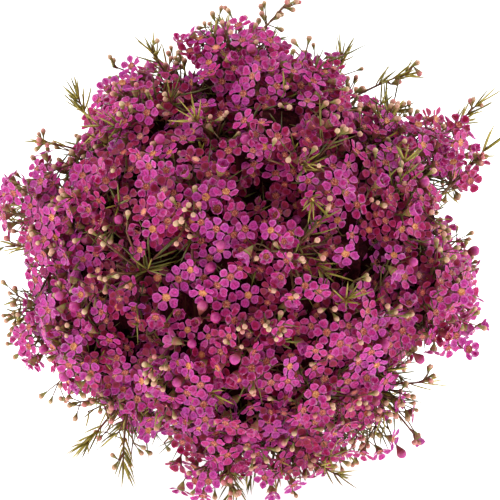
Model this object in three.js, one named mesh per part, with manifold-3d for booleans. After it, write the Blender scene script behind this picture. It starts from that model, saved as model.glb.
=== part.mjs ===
// Waxflower bunch: ten cut stems of pink Geraldton wax held by a rubber band and laid on a surface.
//
// Units are millimetres, +Z is up and the bunch rests on the plane Z = 0. Its domed head of flowers
// points towards -Y and its cut ends towards +Y. Shapes are laid out in the head's own frame, where
// z runs from the cut ends to the crown, and are then placed by headFrame, which tilts the bunch so
// that head and cut ends both reach the surface.
//
// Nodes: stem_NN is one woody stem with its branches and needles, spray_NN is one flowering spray
// with its flowers, buds and needles, and tie is the rubber band.

import * as THREE from "three";
import { mergeVertices } from "three/addons/utils/BufferGeometryUtils.js";
import Module from "manifold-3d";

const wasm = await Module();
wasm.setup();

// ---- Driving dimensions -------------------------------------------------------------------------

const DEGREE = Math.PI / 180;
const GOLDEN_ANGLE = Math.PI * (3 - Math.sqrt(5));
const SEED = 29;

// The head
const HEAD_RADIUS = 133; // from the bunch's axis to the flowers at its widest part
const CROWN_HEIGHT = 114; // from the head's centre to the flowers of the crown
const BACK_STRETCH = 1.3; // the half behind the centre is drawn out this much towards the stems
const HEAD_SPREAD = 112 * DEGREE; // angle from the crown at which the flowers stop
const HEAD_CENTRE_HEIGHT = 132; // above the surface
const REST_HEIGHT = 5; // flowers pressed on the surface keep their centres this high
const REST_SOFTNESS = 6; // how gradually the round head flattens there
const REST_REACH = 7; // flowers that come this close to the surface lie on it

// The stems
const STEM_COUNT = 10;
const STEM_LENGTH = 420; // from the head's centre back to the cut ends
const STEM_STAGGER = 9; // cut ends differ by up to this much
const TIE_DISTANCE = 262; // from the head's centre back to the tie
const TIE_WIDTH = 10;
const TIE_TURNS = 3; // of the rubber band, side by side
const TIE_SLACK = 0.9; // between the band and the outermost stems
const STEM_PITCH = 4.3; // spacing of the spiral on which the stems stand in the tie
const CUT_FLARE = 1.5; // the cut ends stand this much wider than in the tie
const CUT_RADIUS = 2.7;
const FORK_RADIUS = 1.9;
const BRANCH_RADIUS = 1.5;
const CUT_END_HEIGHT = 15.7; // of the bunch's axis at the cut ends

// The sprays
const SPRAY_COUNT = 40;
const SPRAY_DEPTH = 50; // from the flowers down to the end of the branch that carries them
const SPRAY_RISE = [-9, 7]; // sprays stand this far above or below the head's even surface
const FLOWER_COUNT = 214;
const FLOWER_RADIUS = 11.2; // larger than life, so that the flowers still cover the head
const PETAL_COUNT = 5;
const BUD_RADIUS = 2.4;
const NEEDLE_LENGTH = 24;
const NEEDLE_RADIUS = 0.75;

// Neighbouring nodes stay this far apart, and edges shorter than the finest are closed up.
const NODE_GAP = 0.35;
const FINEST_EDGE = 0.05;
const FINEST_DETAIL = 0.01;

// The head's rim isn't an even circle: here it stands out by so much, or in where out is negative.
// turn is the angle round the axis as seen from the crown, from +X towards the top, and width is how
// far round on either side the lobe reaches, both in degrees.
const RIM_LOBES = [
  { turn: 10, out: -10, width: 8 },
  { turn: 28, out: 12, width: 12 },
  { turn: 50, out: -9, width: 18 },
  { turn: 93, out: 6, width: 14 },
  { turn: 111, out: -12, width: 9 },
  { turn: 149, out: -7, width: 10 },
  { turn: 166, out: 13, width: 12 },
  { turn: 203, out: 9, width: 13 },
  { turn: 250, out: -8, width: 8 },
  { turn: 261, out: 9, width: 7 },
  { turn: 291, out: 12, width: 16 },
  { turn: 331, out: -14, width: 11 },
  { turn: 347, out: 11, width: 12 },
];

// Leafy and budded shoots that stand out of the rim. reach is from the axis; forward is from the
// head's centre towards the crown.
const RIM_SHOOTS = [
  { turn: 81, reach: 154, forward: 30, needles: 0, buds: 4 },
  { turn: 95, reach: 142, forward: 15, needles: 6, buds: 0 },
  { turn: 115, reach: 139, forward: 30, needles: 6, buds: 1 },
  { turn: 125, reach: 142, forward: 20, needles: 0, buds: 3 },
  { turn: 137, reach: 142, forward: 25, needles: 8, buds: 0 },
  { turn: 151, reach: 142, forward: 35, needles: 2, buds: 3 },
  { turn: 64, reach: 138, forward: 20, needles: 6, buds: 0 },
  { turn: 48, reach: 151, forward: 25, needles: 6, buds: 3 },
  { turn: 33, reach: 172, forward: 10, needles: 8, buds: 1 },
  { turn: 24, reach: 162, forward: 30, needles: 4, buds: 3 },
  { turn: -35, reach: 136, forward: 35, needles: 2, buds: 3 },
  { turn: -47, reach: 150, forward: 45, needles: 0, buds: 2 },
  { turn: -67, reach: 146, forward: 50, needles: 4, buds: 0 },
  { turn: -93, reach: 142, forward: 55, needles: 2, buds: 3 },
  { turn: -120, reach: 148, forward: 50, needles: 6, buds: 1 },
  { turn: -130, reach: 152, forward: 35, needles: 8, buds: 0 },
  { turn: 178, reach: 144, forward: 20, needles: 4, buds: 2 },
];

// ---- Materials ----------------------------------------------------------------------------------

const bark = new THREE.MeshStandardMaterial({ color: 0x6e6238, roughness: 0.85, metalness: 0 });
const petals = new THREE.MeshStandardMaterial({ color: 0xa83a7c, roughness: 0.55, metalness: 0 });
const rubber = new THREE.MeshStandardMaterial({ color: 0xb99a6b, roughness: 0.7, metalness: 0 });

// ---- Random draws -------------------------------------------------------------------------------

// A repeatable stream of numbers from 0 to 1 (mulberry32).
function randomStream(seed) {
  let state = seed >>> 0;
  return () => {
    state = (state + 0x6d2b79f5) >>> 0;
    let mixed = Math.imul(state ^ (state >>> 15), state | 1);
    mixed ^= mixed + Math.imul(mixed ^ (mixed >>> 7), mixed | 61);
    return ((mixed ^ (mixed >>> 14)) >>> 0) / 4294967296;
  };
}

function between(random, low, high) {
  return low + (high - low) * random();
}

function randomVector(random, size) {
  const x = between(random, -size, size);
  const y = between(random, -size, size);
  const z = between(random, -size, size);
  return new THREE.Vector3(x, y, z);
}

// ---- The head's frame and surface ---------------------------------------------------------------

const tilt = Math.asin((HEAD_CENTRE_HEIGHT - CUT_END_HEIGHT) / STEM_LENGTH);
const crownward = new THREE.Vector3(0, -Math.cos(tilt), Math.sin(tilt));
const headFrame = new THREE.Matrix4()
  .makeBasis(
    new THREE.Vector3(1, 0, 0),
    new THREE.Vector3(0, Math.sin(tilt), Math.cos(tilt)),
    crownward,
  )
  .setPosition(0, 0, HEAD_CENTRE_HEIGHT);

function placed(x, y, z) {
  return new THREE.Vector3(x, y, z).applyMatrix4(headFrame);
}

// The surface under the bunch lifts what would hang below it, and flattens the head there.
function settled(point) {
  const above = (point.z - REST_HEIGHT) / REST_SOFTNESS;
  const lifted = REST_HEIGHT + REST_SOFTNESS * Math.log(1 + Math.exp(above));
  return new THREE.Vector3(point.x, point.y, lifted);
}

// Directions spread evenly over the head, from the crown outwards in a sunflower's spiral.
function spiralDirection(index, count) {
  const cosine = 1 - ((1 - Math.cos(HEAD_SPREAD)) * (index + 0.5)) / count;
  const sine = Math.sqrt(1 - cosine * cosine);
  const turn = index * GOLDEN_ANGLE;
  return new THREE.Vector3(sine * Math.cos(turn), sine * Math.sin(turn), cosine);
}

function headSemiAxes(direction, rise) {
  const stretch = direction.z < 0 ? BACK_STRETCH : 1;
  const across = HEAD_RADIUS + rise;
  return new THREE.Vector3(across, across, (CROWN_HEIGHT + rise) * stretch);
}

// How far the rim's lobes stand out in a direction. They fade towards the crown.
function lobeRise(direction) {
  const turn = Math.atan2(direction.y, direction.x) / DEGREE;
  const nearness = (1 - direction.z ** 2) ** 2;
  const rises = RIM_LOBES.map((lobe) => {
    const apart = THREE.MathUtils.euclideanModulo(turn - lobe.turn + 180, 360) - 180;
    return lobe.out * Math.exp(-((apart / lobe.width) ** 2));
  });
  return nearness * rises.reduce((sum, rise) => sum + rise, 0);
}

function headSurface(direction, rise) {
  const axes = headSemiAxes(direction, rise + lobeRise(direction));
  return settled(placed(direction.x * axes.x, direction.y * axes.y, direction.z * axes.z));
}

function headOutward(direction) {
  const axes = headSemiAxes(direction, 0);
  return direction.clone().divide(axes).transformDirection(headFrame);
}

function nearestIndex(direction, directions) {
  const closeness = directions.map((other) => other.dot(direction));
  return closeness.indexOf(Math.max(...closeness));
}

// ---- Solids and nodes ---------------------------------------------------------------------------

function withMergedVertices(geometry) {
  geometry.deleteAttribute("normal");
  geometry.deleteAttribute("uv");
  return mergeVertices(geometry, 1e-4);
}

function toSolid(geometry) {
  const merged = withMergedVertices(geometry);
  const index = merged.index.array;
  const triangles = [];
  for (let i = 0; i < index.length; i += 3) {
    const [a, b, c] = [index[i], index[i + 1], index[i + 2]];
    if (a !== b && b !== c && c !== a) triangles.push(a, b, c);
  }
  const mesh = new wasm.Mesh({
    numProp: 3,
    vertProperties: Float32Array.from(merged.attributes.position.array),
    triVerts: Uint32Array.from(triangles),
  });
  return new wasm.Manifold(mesh);
}

// The same shape, thicker all round by gap.
function swollen(geometry, gap) {
  const merged = withMergedVertices(geometry.clone());
  merged.computeVertexNormals();
  const position = merged.attributes.position;
  const normal = merged.attributes.normal;
  for (let i = 0; i < position.count; i += 1) {
    const x = position.getX(i) + normal.getX(i) * gap;
    const y = position.getY(i) + normal.getY(i) * gap;
    const z = position.getZ(i) + normal.getZ(i) * gap;
    position.setXYZ(i, x, y, z);
  }
  return merged;
}

function boxOf(geometry) {
  geometry.computeBoundingBox();
  return geometry.boundingBox.clone();
}

// Every piece placed so far, with its node, solid and box, and the fused body of each node.
const pieces = [];
const bodies = new Map();

function largestOf(solids) {
  const volumes = solids.map((solid) => solid.volume());
  return solids[volumes.indexOf(Math.max(...volumes))];
}

// A node's body joined with one more piece. Loose scraps and sealed hollows come apart from it and
// are dropped.
function joined(node, solid) {
  const body = bodies.get(node);
  if (body === undefined) return solid;
  return largestOf(body.add(solid).simplify(FINEST_EDGE).decompose());
}

// A sound body has no two corners that meet and no sliver among its faces.
function isSound(solid) {
  const { vertProperties, triVerts } = solid.getMesh();
  const corners = [];
  const occupied = new Set();
  for (let i = 0; i < vertProperties.length; i += 3) {
    const corner = new THREE.Vector3().fromArray(vertProperties, i);
    corners.push(corner);
    occupied.add(corner.toArray().map((value) => Math.round(value / FINEST_DETAIL)).join());
  }
  if (occupied.size < corners.length) return false;
  const face = new THREE.Triangle();
  for (let i = 0; i < triVerts.length; i += 3) {
    face.setFromPointsAndIndices(corners, triVerts[i], triVerts[i + 1], triVerts[i + 2]);
    const sides = [face.a.distanceTo(face.b), face.b.distanceTo(face.c), face.c.distanceTo(face.a)];
    const longest = Math.max(...sides);
    if ((2 * face.getArea()) / longest < FINEST_DETAIL) return false;
  }
  return true;
}

// Joins a piece to its node and says whether that left a sound body. If not, nothing changes.
function attach(node, geometry) {
  const solid = toSolid(geometry);
  const body = joined(node, solid);
  const before = bodies.get(node);
  const isRooted = before === undefined || body.volume() > before.volume() + 0.5 * solid.volume();
  if (!isRooted || !isSound(body)) return false;
  bodies.set(node, body);
  pieces.push({ node, box: boxOf(geometry), solid });
  return true;
}

// Joins a piece that the node can't do without, in the first of its slightly different forms that
// makes a sound body.
function attachVaried(node, shapeVaried) {
  const forms = 24;
  for (let form = 0; form < forms; form += 1) {
    if (attach(node, shapeVaried(form))) return;
  }
  throw new Error(`a piece of ${node} can't be joined soundly`);
}

function isClear(node, geometry) {
  const box = boxOf(geometry).expandByScalar(NODE_GAP);
  const neighbours = pieces.filter((piece) => piece.node !== node && piece.box.intersectsBox(box));
  if (neighbours.length === 0) return true;
  const swollenSolid = toSolid(swollen(geometry, NODE_GAP));
  return neighbours.every((piece) => swollenSolid.intersect(piece.solid).isEmpty());
}

function isAboveSurface(geometry) {
  return boxOf(geometry).min.z >= 0;
}

function attachIfClear(node, geometry) {
  return isAboveSurface(geometry) && isClear(node, geometry) && attach(node, geometry);
}

function bodyGeometry(node) {
  const { vertProperties, triVerts } = bodies.get(node).getMesh();
  return new THREE.BufferGeometry()
    .setAttribute("position", new THREE.BufferAttribute(vertProperties, 3))
    .setIndex(new THREE.BufferAttribute(triVerts, 1));
}

// ---- Shapes of the plant ------------------------------------------------------------------------

// Turns a shape modelled along +Z so that it faces a direction from a point.
function facing(geometry, origin, direction, twist = 0) {
  const turn = new THREE.Quaternion().setFromUnitVectors(new THREE.Vector3(0, 0, 1), direction);
  geometry.rotateZ(twist);
  geometry.applyQuaternion(turn);
  geometry.translate(origin.x, origin.y, origin.z);
  return geometry;
}

// A stick along a path, tapering from one radius to another.
function taperedStick(path, startRadius, endRadius, sides, steps, twist = 0) {
  const section = new THREE.Shape();
  for (let i = 0; i < sides; i += 1) {
    const angle = (i / sides) * 2 * Math.PI + twist;
    const method = i === 0 ? "moveTo" : "lineTo";
    section[method](Math.cos(angle), Math.sin(angle));
  }
  const options = { steps, bevelEnabled: false, extrudePath: path, curveSegments: 1 };
  const stick = new THREE.ExtrudeGeometry(section, options);
  const centres = path.getSpacedPoints(steps);
  const position = stick.attributes.position;
  const vertex = new THREE.Vector3();
  for (let i = 0; i < position.count; i += 1) {
    vertex.fromBufferAttribute(position, i);
    const distances = centres.map((centre) => centre.distanceTo(vertex));
    const step = distances.indexOf(Math.min(...distances));
    const radius = THREE.MathUtils.lerp(startRadius, endRadius, step / steps);
    vertex.sub(centres[step]).multiplyScalar(radius).add(centres[step]);
    position.setXYZ(i, vertex.x, vertex.y, vertex.z);
  }
  return stick;
}

// A stalked head: a rim under one top point, drawn in to a three-sided neck that runs to a root
// point. The rim's count of points is a multiple of three.
function stalkedHead(top, rim, neckRadius, neckDrop, rootDrop) {
  const neckSides = 3;
  const rimPerSide = rim.length / neckSides;
  const points = [new THREE.Vector3(0, 0, top), ...rim];
  const firstNeck = points.length;
  for (let side = 0; side < neckSides; side += 1) {
    const middle = ((side + 0.5) / neckSides) * 2 * Math.PI;
    const x = neckRadius * Math.cos(middle);
    const y = neckRadius * Math.sin(middle);
    points.push(new THREE.Vector3(x, y, -neckDrop));
  }
  const root = points.length;
  points.push(new THREE.Vector3(0, 0, -rootDrop));
  const triangles = [];
  for (let i = 0; i < rim.length; i += 1) {
    const here = 1 + i;
    const next = 1 + ((i + 1) % rim.length);
    const neck = firstNeck + Math.floor(i / rimPerSide);
    triangles.push(0, here, next, here, neck, next);
  }
  for (let side = 0; side < neckSides; side += 1) {
    const here = firstNeck + side;
    const next = firstNeck + ((side + 1) % neckSides);
    const shared = 1 + (((side + 1) * rimPerSide) % rim.length);
    triangles.push(shared, here, next, here, root, next);
  }
  return new THREE.BufferGeometry().setFromPoints(points).setIndex(triangles);
}

// Five round petals over a cone-shaped calyx and its stalk. cup is how far the tips stand up.
function flowerShape(radius, cup, rootDrop) {
  const petalHalfWidth = 19 * DEGREE;
  const notchRadius = 0.5 * radius;
  const rim = [];
  for (let petal = 0; petal < PETAL_COUNT; petal += 1) {
    const middle = (petal / PETAL_COUNT) * 2 * Math.PI;
    const corners = [
      [middle - petalHalfWidth, radius, cup],
      [middle + petalHalfWidth, radius, cup],
      [middle + Math.PI / PETAL_COUNT, notchRadius, 0.3 * cup],
    ];
    for (const [angle, reach, height] of corners) {
      rim.push(new THREE.Vector3(reach * Math.cos(angle), reach * Math.sin(angle), height));
    }
  }
  return stalkedHead(-0.4, rim, 1.25, 4.6, rootDrop);
}

// A round closed bud on its stalk.
function budShape(radius, rootDrop) {
  const rimPoints = 6;
  const rim = [];
  for (let i = 0; i < rimPoints; i += 1) {
    const angle = (i / rimPoints) * 2 * Math.PI;
    rim.push(new THREE.Vector3(radius * Math.cos(angle), radius * Math.sin(angle), 0));
  }
  return stalkedHead(radius, rim, 0.8, 1.5 * radius, rootDrop);
}

// Two opposite needle leaves that lean along the twig: three sides, thickest where they cross the
// twig together and pointed at both tips.
function needlePair(middle, along, side, lean, lengths) {
  const across = new THREE.Vector3().crossVectors(along, side).normalize();
  const waist = [0, 1, 2].map((corner) => {
    const angle = (corner / 3) * 2 * Math.PI;
    const point = middle.clone().addScaledVector(along, NEEDLE_RADIUS * Math.cos(angle));
    return point.addScaledVector(across, NEEDLE_RADIUS * Math.sin(angle));
  });
  const tips = [-1, 1].map((sign, i) => {
    const direction = along.clone().multiplyScalar(lean).addScaledVector(side, sign);
    return middle.clone().addScaledVector(direction.normalize(), lengths[i]);
  });
  const [first, second] = [3, 4];
  const triangles = [];
  for (let corner = 0; corner < 3; corner += 1) {
    const next = (corner + 1) % 3;
    triangles.push(corner, first, next, next, second, corner);
  }
  return new THREE.BufferGeometry().setFromPoints([...waist, ...tips]).setIndex(triangles);
}

// The twiggy heart of a spray: a slim goblet that its flower stalks grow from.
function heartShape() {
  const profile = [
    new THREE.Vector2(0, -SPRAY_DEPTH),
    new THREE.Vector2(BRANCH_RADIUS, -SPRAY_DEPTH),
    new THREE.Vector2(3.2, -0.72 * SPRAY_DEPTH),
    new THREE.Vector2(14, -0.42 * SPRAY_DEPTH),
    new THREE.Vector2(0, -0.27 * SPRAY_DEPTH),
  ];
  return new THREE.LatheGeometry(profile, 6).rotateX(Math.PI / 2);
}

// Pairs of needles along a path, leaning towards its tip.
function pairedNeedles(path, pairs, from, to, random) {
  return Array.from({ length: pairs }, (_, pair) => {
    const place = THREE.MathUtils.lerp(from, to, pairs > 1 ? pair / (pairs - 1) : 0.5);
    const along = path.getTangentAt(place);
    const side = new THREE.Vector3().crossVectors(along, randomVector(random, 1)).normalize();
    const lean = between(random, 0.7, 1.3);
    const lengths = [0, 1].map(() => NEEDLE_LENGTH * between(random, 0.75, 1.1));
    return needlePair(path.getPointAt(place), along, side, lean, lengths);
  });
}

// ---- Layout of the sprays and stems -------------------------------------------------------------

function numbered(name, index) {
  return `${name}_${String(index + 1).padStart(2, "0")}`;
}

const stemDirections = Array.from({ length: STEM_COUNT }, (_, i) => spiralDirection(i, STEM_COUNT));

// A spray's place: where its flowers are, which way it grows and which stem carries it.
function laidOutSpray(index) {
  const random = randomStream(SEED * 1000 + index);
  const direction = spiralDirection(index, SPRAY_COUNT);
  const rise = between(random, ...SPRAY_RISE);
  const top = headSurface(direction, rise);
  const fromStems = top.clone().sub(placed(0, 0, -190)).normalize();
  const axis = headOutward(direction).multiplyScalar(0.72).addScaledVector(fromStems, 0.38);
  axis.add(randomVector(random, 0.08)).normalize();
  axis.z = Math.max(axis.z, -0.45);
  axis.normalize();
  return {
    node: numbered("spray", index),
    direction,
    rise,
    top,
    axis,
    base: top.clone().addScaledVector(axis, -SPRAY_DEPTH),
    stem: nearestIndex(direction, stemDirections),
  };
}

const sprays = Array.from({ length: SPRAY_COUNT }, (_, i) => laidOutSpray(i));
const sprayDirections = sprays.map((spray) => spray.direction);

// Where stem i passes through the tie, seen from the crown.
function placeInTie(index) {
  const radius = STEM_PITCH * Math.sqrt(index + 0.5);
  const turn = index * GOLDEN_ANGLE;
  return new THREE.Vector2(radius * Math.cos(turn), radius * Math.sin(turn));
}

// A stem runs from its cut end through the tie and on to the first fork inside the head.
function stemPath(index) {
  const random = randomStream(SEED * 2000 + index);
  const inTie = placeInTie(index);
  const cut = inTie.clone().multiplyScalar(CUT_FLARE);
  const direction = stemDirections[index];
  const axes = headSemiAxes(direction, 0);
  const fork = direction.clone().multiply(axes).multiplyScalar(0.46);
  fork.z -= 62;
  const stagger = between(random, -STEM_STAGGER, 0);
  return new THREE.CatmullRomCurve3([
    placed(cut.x, cut.y, -STEM_LENGTH - stagger),
    placed(inTie.x, inTie.y, -TIE_DISTANCE - TIE_WIDTH),
    placed(inTie.x, inTie.y, -TIE_DISTANCE + TIE_WIDTH),
    placed(0.45 * fork.x + inTie.x * 0.6, 0.45 * fork.y + inTie.y * 0.6, -175),
    placed(fork.x, fork.y, fork.z),
  ]);
}

// A branch leaves its stem at a place along it and arrives under its spray along the spray's axis.
function branchPath(stem, place, spray) {
  const start = stem.getPointAt(place);
  const end = spray.base.clone().addScaledVector(spray.axis, -NODE_GAP);
  const bend = end.clone().addScaledVector(spray.axis, -0.5 * start.distanceTo(end));
  return new THREE.QuadraticBezierCurve3(start, bend, end);
}

// ---- Making the nodes ---------------------------------------------------------------------------

function growStem(index) {
  const node = numbered("stem", index);
  const path = stemPath(index);
  attach(node, taperedStick(path, CUT_RADIUS, FORK_RADIUS, 5, 8));
  const carried = sprays.filter((spray) => spray.stem === index);
  const outermostFirst = carried.sort((a, b) => a.direction.z - b.direction.z);
  outermostFirst.forEach((spray, i) => {
    const place = THREE.MathUtils.lerp(0.84, 0.99, (i + 1) / carried.length);
    attachVaried(node, (form) => {
      const branch = branchPath(path, place - 0.003 * form, spray);
      return taperedStick(branch, 1.6, BRANCH_RADIUS, 3, 3, 0.37 * form);
    });
  });
  return { node, path };
}

function growHeart(spray) {
  attach(spray.node, facing(heartShape(), spray.top, spray.axis));
}

// A flower stands on its spray's heart: those away from the spray's axis sit a little lower, so
// that each spray is a small dome of its own.
function growFlower(index) {
  const random = randomStream(SEED * 3000 + index);
  const direction = spiralDirection(index, FLOWER_COUNT);
  const spray = sprays[nearestIndex(direction, sprayDirections)];
  const place = headSurface(direction, spray.rise + between(random, -4, 4));
  const offset = place.clone().sub(spray.top);
  const sideways = offset.clone().addScaledVector(spray.axis, -offset.dot(spray.axis));
  place.addScaledVector(sideways, -0.06);
  place.addScaledVector(spray.axis, -5 * (sideways.length() / 26) ** 2);
  const outward = headOutward(direction).multiplyScalar(0.6).addScaledVector(spray.axis, 0.4);
  outward.addScaledVector(sideways, 0.008).add(randomVector(random, 0.16)).normalize();
  outward.z = Math.max(outward.z, -0.6);
  outward.normalize();
  const rootInHeart = spray.top.clone().addScaledVector(spray.axis, -0.55 * SPRAY_DEPTH);
  const cup = between(random, 0.6, 2.6);
  const twist = between(random, 0, 2 * Math.PI);
  for (const size of [1, 0.9, 0.8]) {
    const flower = rootedHead(
      (rootDrop) => flowerShape(size * FLOWER_RADIUS, cup, rootDrop),
      place,
      outward,
      rootInHeart,
      twist,
    );
    layOnSurface(flower);
    if (attachIfClear(spray.node, flower)) return;
  }
}

// A stalked head at a place, facing outward, whose root point is drawn over to the given root.
function rootedHead(shapeWithRoot, place, outward, root, twist) {
  const rootDrop = place.distanceTo(root);
  const shape = facing(shapeWithRoot(rootDrop), place, outward, twist);
  const position = shape.attributes.position;
  position.setXYZ(position.count - 1, root.x, root.y, root.z);
  return shape;
}

// Lowers or lifts a flower that comes near the surface, all but its root, until it touches.
function layOnSurface(flower) {
  const lowest = boxOf(flower).min.z;
  if (lowest > REST_REACH) return;
  const position = flower.attributes.position;
  for (let i = 0; i < position.count - 1; i += 1) position.setZ(i, position.getZ(i) - lowest);
}

// A few buds stand between the flowers, slightly proud of them.
function growBud(spray, random) {
  const sideways = randomVector(random, 1).cross(spray.axis).setLength(between(random, 6, 22));
  const place = spray.top.clone().add(sideways);
  place.addScaledVector(spray.axis, between(random, -4, 7));
  const root = spray.top.clone().addScaledVector(spray.axis, -0.55 * SPRAY_DEPTH);
  const outward = place.clone().sub(root).normalize();
  const shape = (rootDrop) => budShape(BUD_RADIUS * between(random, 0.8, 1.15), rootDrop);
  return attachIfClear(spray.node, rootedHead(shape, place, outward, root, 0));
}

function growSprayTrimmings(spray, index) {
  const random = randomStream(SEED * 4000 + index);
  const tries = 6;
  let buds = 0;
  for (let i = 0; i < tries && buds < 1; i += 1) {
    if (growBud(spray, random)) buds += 1;
  }
  const heart = new THREE.LineCurve3(spray.base, spray.top);
  let pairs = 0;
  for (const pair of pairedNeedles(heart, 3, 0.12, 0.5, random)) {
    if (pairs < 1 && attachIfClear(spray.node, pair)) pairs += 1;
  }
}

// A shoot grows from the heart of the nearest spray out past the head's rim.
function growRimShoot(shoot, index) {
  const across = new THREE.Vector2(Math.cos(shoot.turn * DEGREE), Math.sin(shoot.turn * DEGREE));
  const tip = settled(placed(across.x * shoot.reach, across.y * shoot.reach, shoot.forward));
  const rimDirection = new THREE.Vector3(across.x, across.y, shoot.forward / CROWN_HEIGHT);
  const spray = sprays[nearestIndex(rimDirection.normalize(), sprayDirections)];
  const random = randomStream(SEED * 5000 + index);
  const root = spray.top.clone().addScaledVector(spray.axis, -0.6 * SPRAY_DEPTH);
  const bend = root.clone().lerp(tip, 0.5).addScaledVector(spray.axis, 6);
  const path = new THREE.QuadraticBezierCurve3(root, bend, tip);
  attachVaried(spray.node, (form) => {
    const start = root.clone().addScaledVector(spray.axis, 0.4 * form);
    const variedPath = new THREE.QuadraticBezierCurve3(start, bend, tip);
    return taperedStick(variedPath, 1.3, 0.9, 3, 4, 0.37 * form);
  });
  for (const pair of pairedNeedles(path, shoot.needles / 2, 0.5, 0.95, random)) {
    attachIfClear(spray.node, pair);
  }
  for (let bud = 0; bud < shoot.buds; bud += 1) {
    const fork = path.getPointAt(THREE.MathUtils.lerp(0.985, 0.72, bud / 4));
    const along = path.getTangentAt(1).add(randomVector(random, 0.8)).normalize();
    const place = fork.clone().addScaledVector(along, between(random, 7, 10));
    const shape = (rootDrop) => budShape(BUD_RADIUS, rootDrop);
    attachIfClear(spray.node, rootedHead(shape, place, along, fork, 0));
  }
}

function growStemNeedles(stem, index) {
  const random = randomStream(SEED * 6000 + index);
  const onStem = pairedNeedles(stem.path, 4, 0.5, 0.86, random);
  for (const pair of onStem) attachIfClear(stem.node, pair);
}

// The rubber band: a ring with one round ridge for each of its turns.
function growTie() {
  const sides = 12;
  const bundleRadius = placeInTie(STEM_COUNT - 1).length() + CUT_RADIUS + TIE_SLACK;
  const innerRadius = bundleRadius / Math.cos(Math.PI / sides);
  const turnWidth = TIE_WIDTH / TIE_TURNS;
  const thickness = 1.8;
  const profile = [new THREE.Vector2(innerRadius, -0.5 * TIE_WIDTH)];
  for (let turn = 0; turn < TIE_TURNS; turn += 1) {
    const low = (turn - 0.5 * TIE_TURNS) * turnWidth;
    profile.push(new THREE.Vector2(innerRadius + 0.55 * thickness, low));
    profile.push(new THREE.Vector2(innerRadius + thickness, low + 0.5 * turnWidth));
  }
  profile.push(new THREE.Vector2(innerRadius + 0.55 * thickness, 0.5 * TIE_WIDTH));
  profile.push(new THREE.Vector2(innerRadius, 0.5 * TIE_WIDTH));
  profile.push(profile[0].clone());
  const ring = new THREE.LatheGeometry(profile, sides).rotateX(Math.PI / 2);
  attach("tie", facing(ring, placed(0, 0, -TIE_DISTANCE), crownward));
}

// ---- The bunch ----------------------------------------------------------------------------------

const stems = stemDirections.map((_, index) => growStem(index));
growTie();
sprays.forEach(growHeart);
for (let index = 0; index < FLOWER_COUNT; index += 1) growFlower(index);
RIM_SHOOTS.forEach(growRimShoot);
sprays.forEach(growSprayTrimmings);
stems.forEach(growStemNeedles);

const bunch = new THREE.Group();
const extent = new THREE.Box3();

function addNode(name, material) {
  const mesh = new THREE.Mesh(bodyGeometry(name), material);
  mesh.name = name;
  bunch.add(mesh);
  extent.union(boxOf(mesh.geometry));
}

for (const stem of stems) addNode(stem.node, bark);
addNode("tie", rubber);
for (const spray of sprays) addNode(spray.node, petals);

// The origin is on the surface, under the middle of the bunch.
const middle = extent.getCenter(new THREE.Vector3());
bunch.position.set(-middle.x, -middle.y, -extent.min.z);

export default bunch;
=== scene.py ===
# A tied bunch of pink waxflower (Geraldton wax) laid on a pale floor and seen from its crown.
#
# Shapes are laid out in millimetres in the part's own layout: +Z up, the head towards -Y, and a head
# frame whose z runs from the cut ends to the crown. PLACE carries that layout into the frame.

import math
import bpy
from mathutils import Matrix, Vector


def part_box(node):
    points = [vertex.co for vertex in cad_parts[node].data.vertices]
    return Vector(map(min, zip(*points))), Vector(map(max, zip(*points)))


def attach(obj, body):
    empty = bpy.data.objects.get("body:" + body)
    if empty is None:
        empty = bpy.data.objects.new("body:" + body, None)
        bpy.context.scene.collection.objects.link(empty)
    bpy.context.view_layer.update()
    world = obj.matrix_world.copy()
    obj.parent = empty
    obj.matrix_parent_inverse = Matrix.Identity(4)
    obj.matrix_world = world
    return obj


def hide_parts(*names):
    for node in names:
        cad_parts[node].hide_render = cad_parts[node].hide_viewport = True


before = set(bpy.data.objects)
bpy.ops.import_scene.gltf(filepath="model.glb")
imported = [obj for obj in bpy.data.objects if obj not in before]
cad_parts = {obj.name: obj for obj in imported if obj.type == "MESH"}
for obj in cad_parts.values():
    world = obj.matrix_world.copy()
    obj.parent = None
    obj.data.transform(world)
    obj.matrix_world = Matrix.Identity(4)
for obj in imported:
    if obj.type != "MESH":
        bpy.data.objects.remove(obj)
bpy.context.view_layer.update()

from types import SimpleNamespace

import bpy
import numpy as np
from mathutils import Vector

MM = 0.001
DEGREE = math.pi / 180
TURN = 2 * math.pi
GOLDEN_ANGLE = math.pi * (3 - math.sqrt(5))

# ---- The part's driving dimensions, in mm --------------------------------------------------------

SEED = 29
HEAD_RADIUS = 133
CROWN_HEIGHT = 114
BACK_STRETCH = 1.3  # of the half behind the centre
HEAD_SPREAD = 112 * DEGREE  # from the crown to the last flowers
HEAD_CENTRE_HEIGHT = 132
REST_HEIGHT = 5  # of the flowers that are pressed on the surface
REST_SOFTNESS = 6
STEM_COUNT = 10
STEM_LENGTH = 420  # from the head's centre back to the cut ends
STEM_STAGGER = 9
TIE_DISTANCE = 262  # from the head's centre back to the tie
TIE_WIDTH = 10
TIE_TURNS = 3
TIE_SLACK = 0.9
STEM_PITCH = 4.3
CUT_FLARE = 1.5  # the cut ends stand this much wider than in the tie
CUT_RADIUS = 2.7
FORK_RADIUS = 1.9
BRANCH_RADIUS = 1.5
FORK_SHARE = 0.46  # of the way from the head's centre to its surface
FORK_DROP = 62  # from there back towards the stems
SPREAD_DISTANCE = 175  # from the head's centre back to where the stems spread
CUT_END_HEIGHT = 15.7
SPRAY_COUNT = 40
SPRAY_DEPTH = 50
SPRAY_RISE = (-9, 7)
SPRAY_HALF_WIDTH = 26
SPRAY_SOURCE = 190  # behind the head's centre, which the sprays point away from
CYME_COUNT = 214

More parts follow.
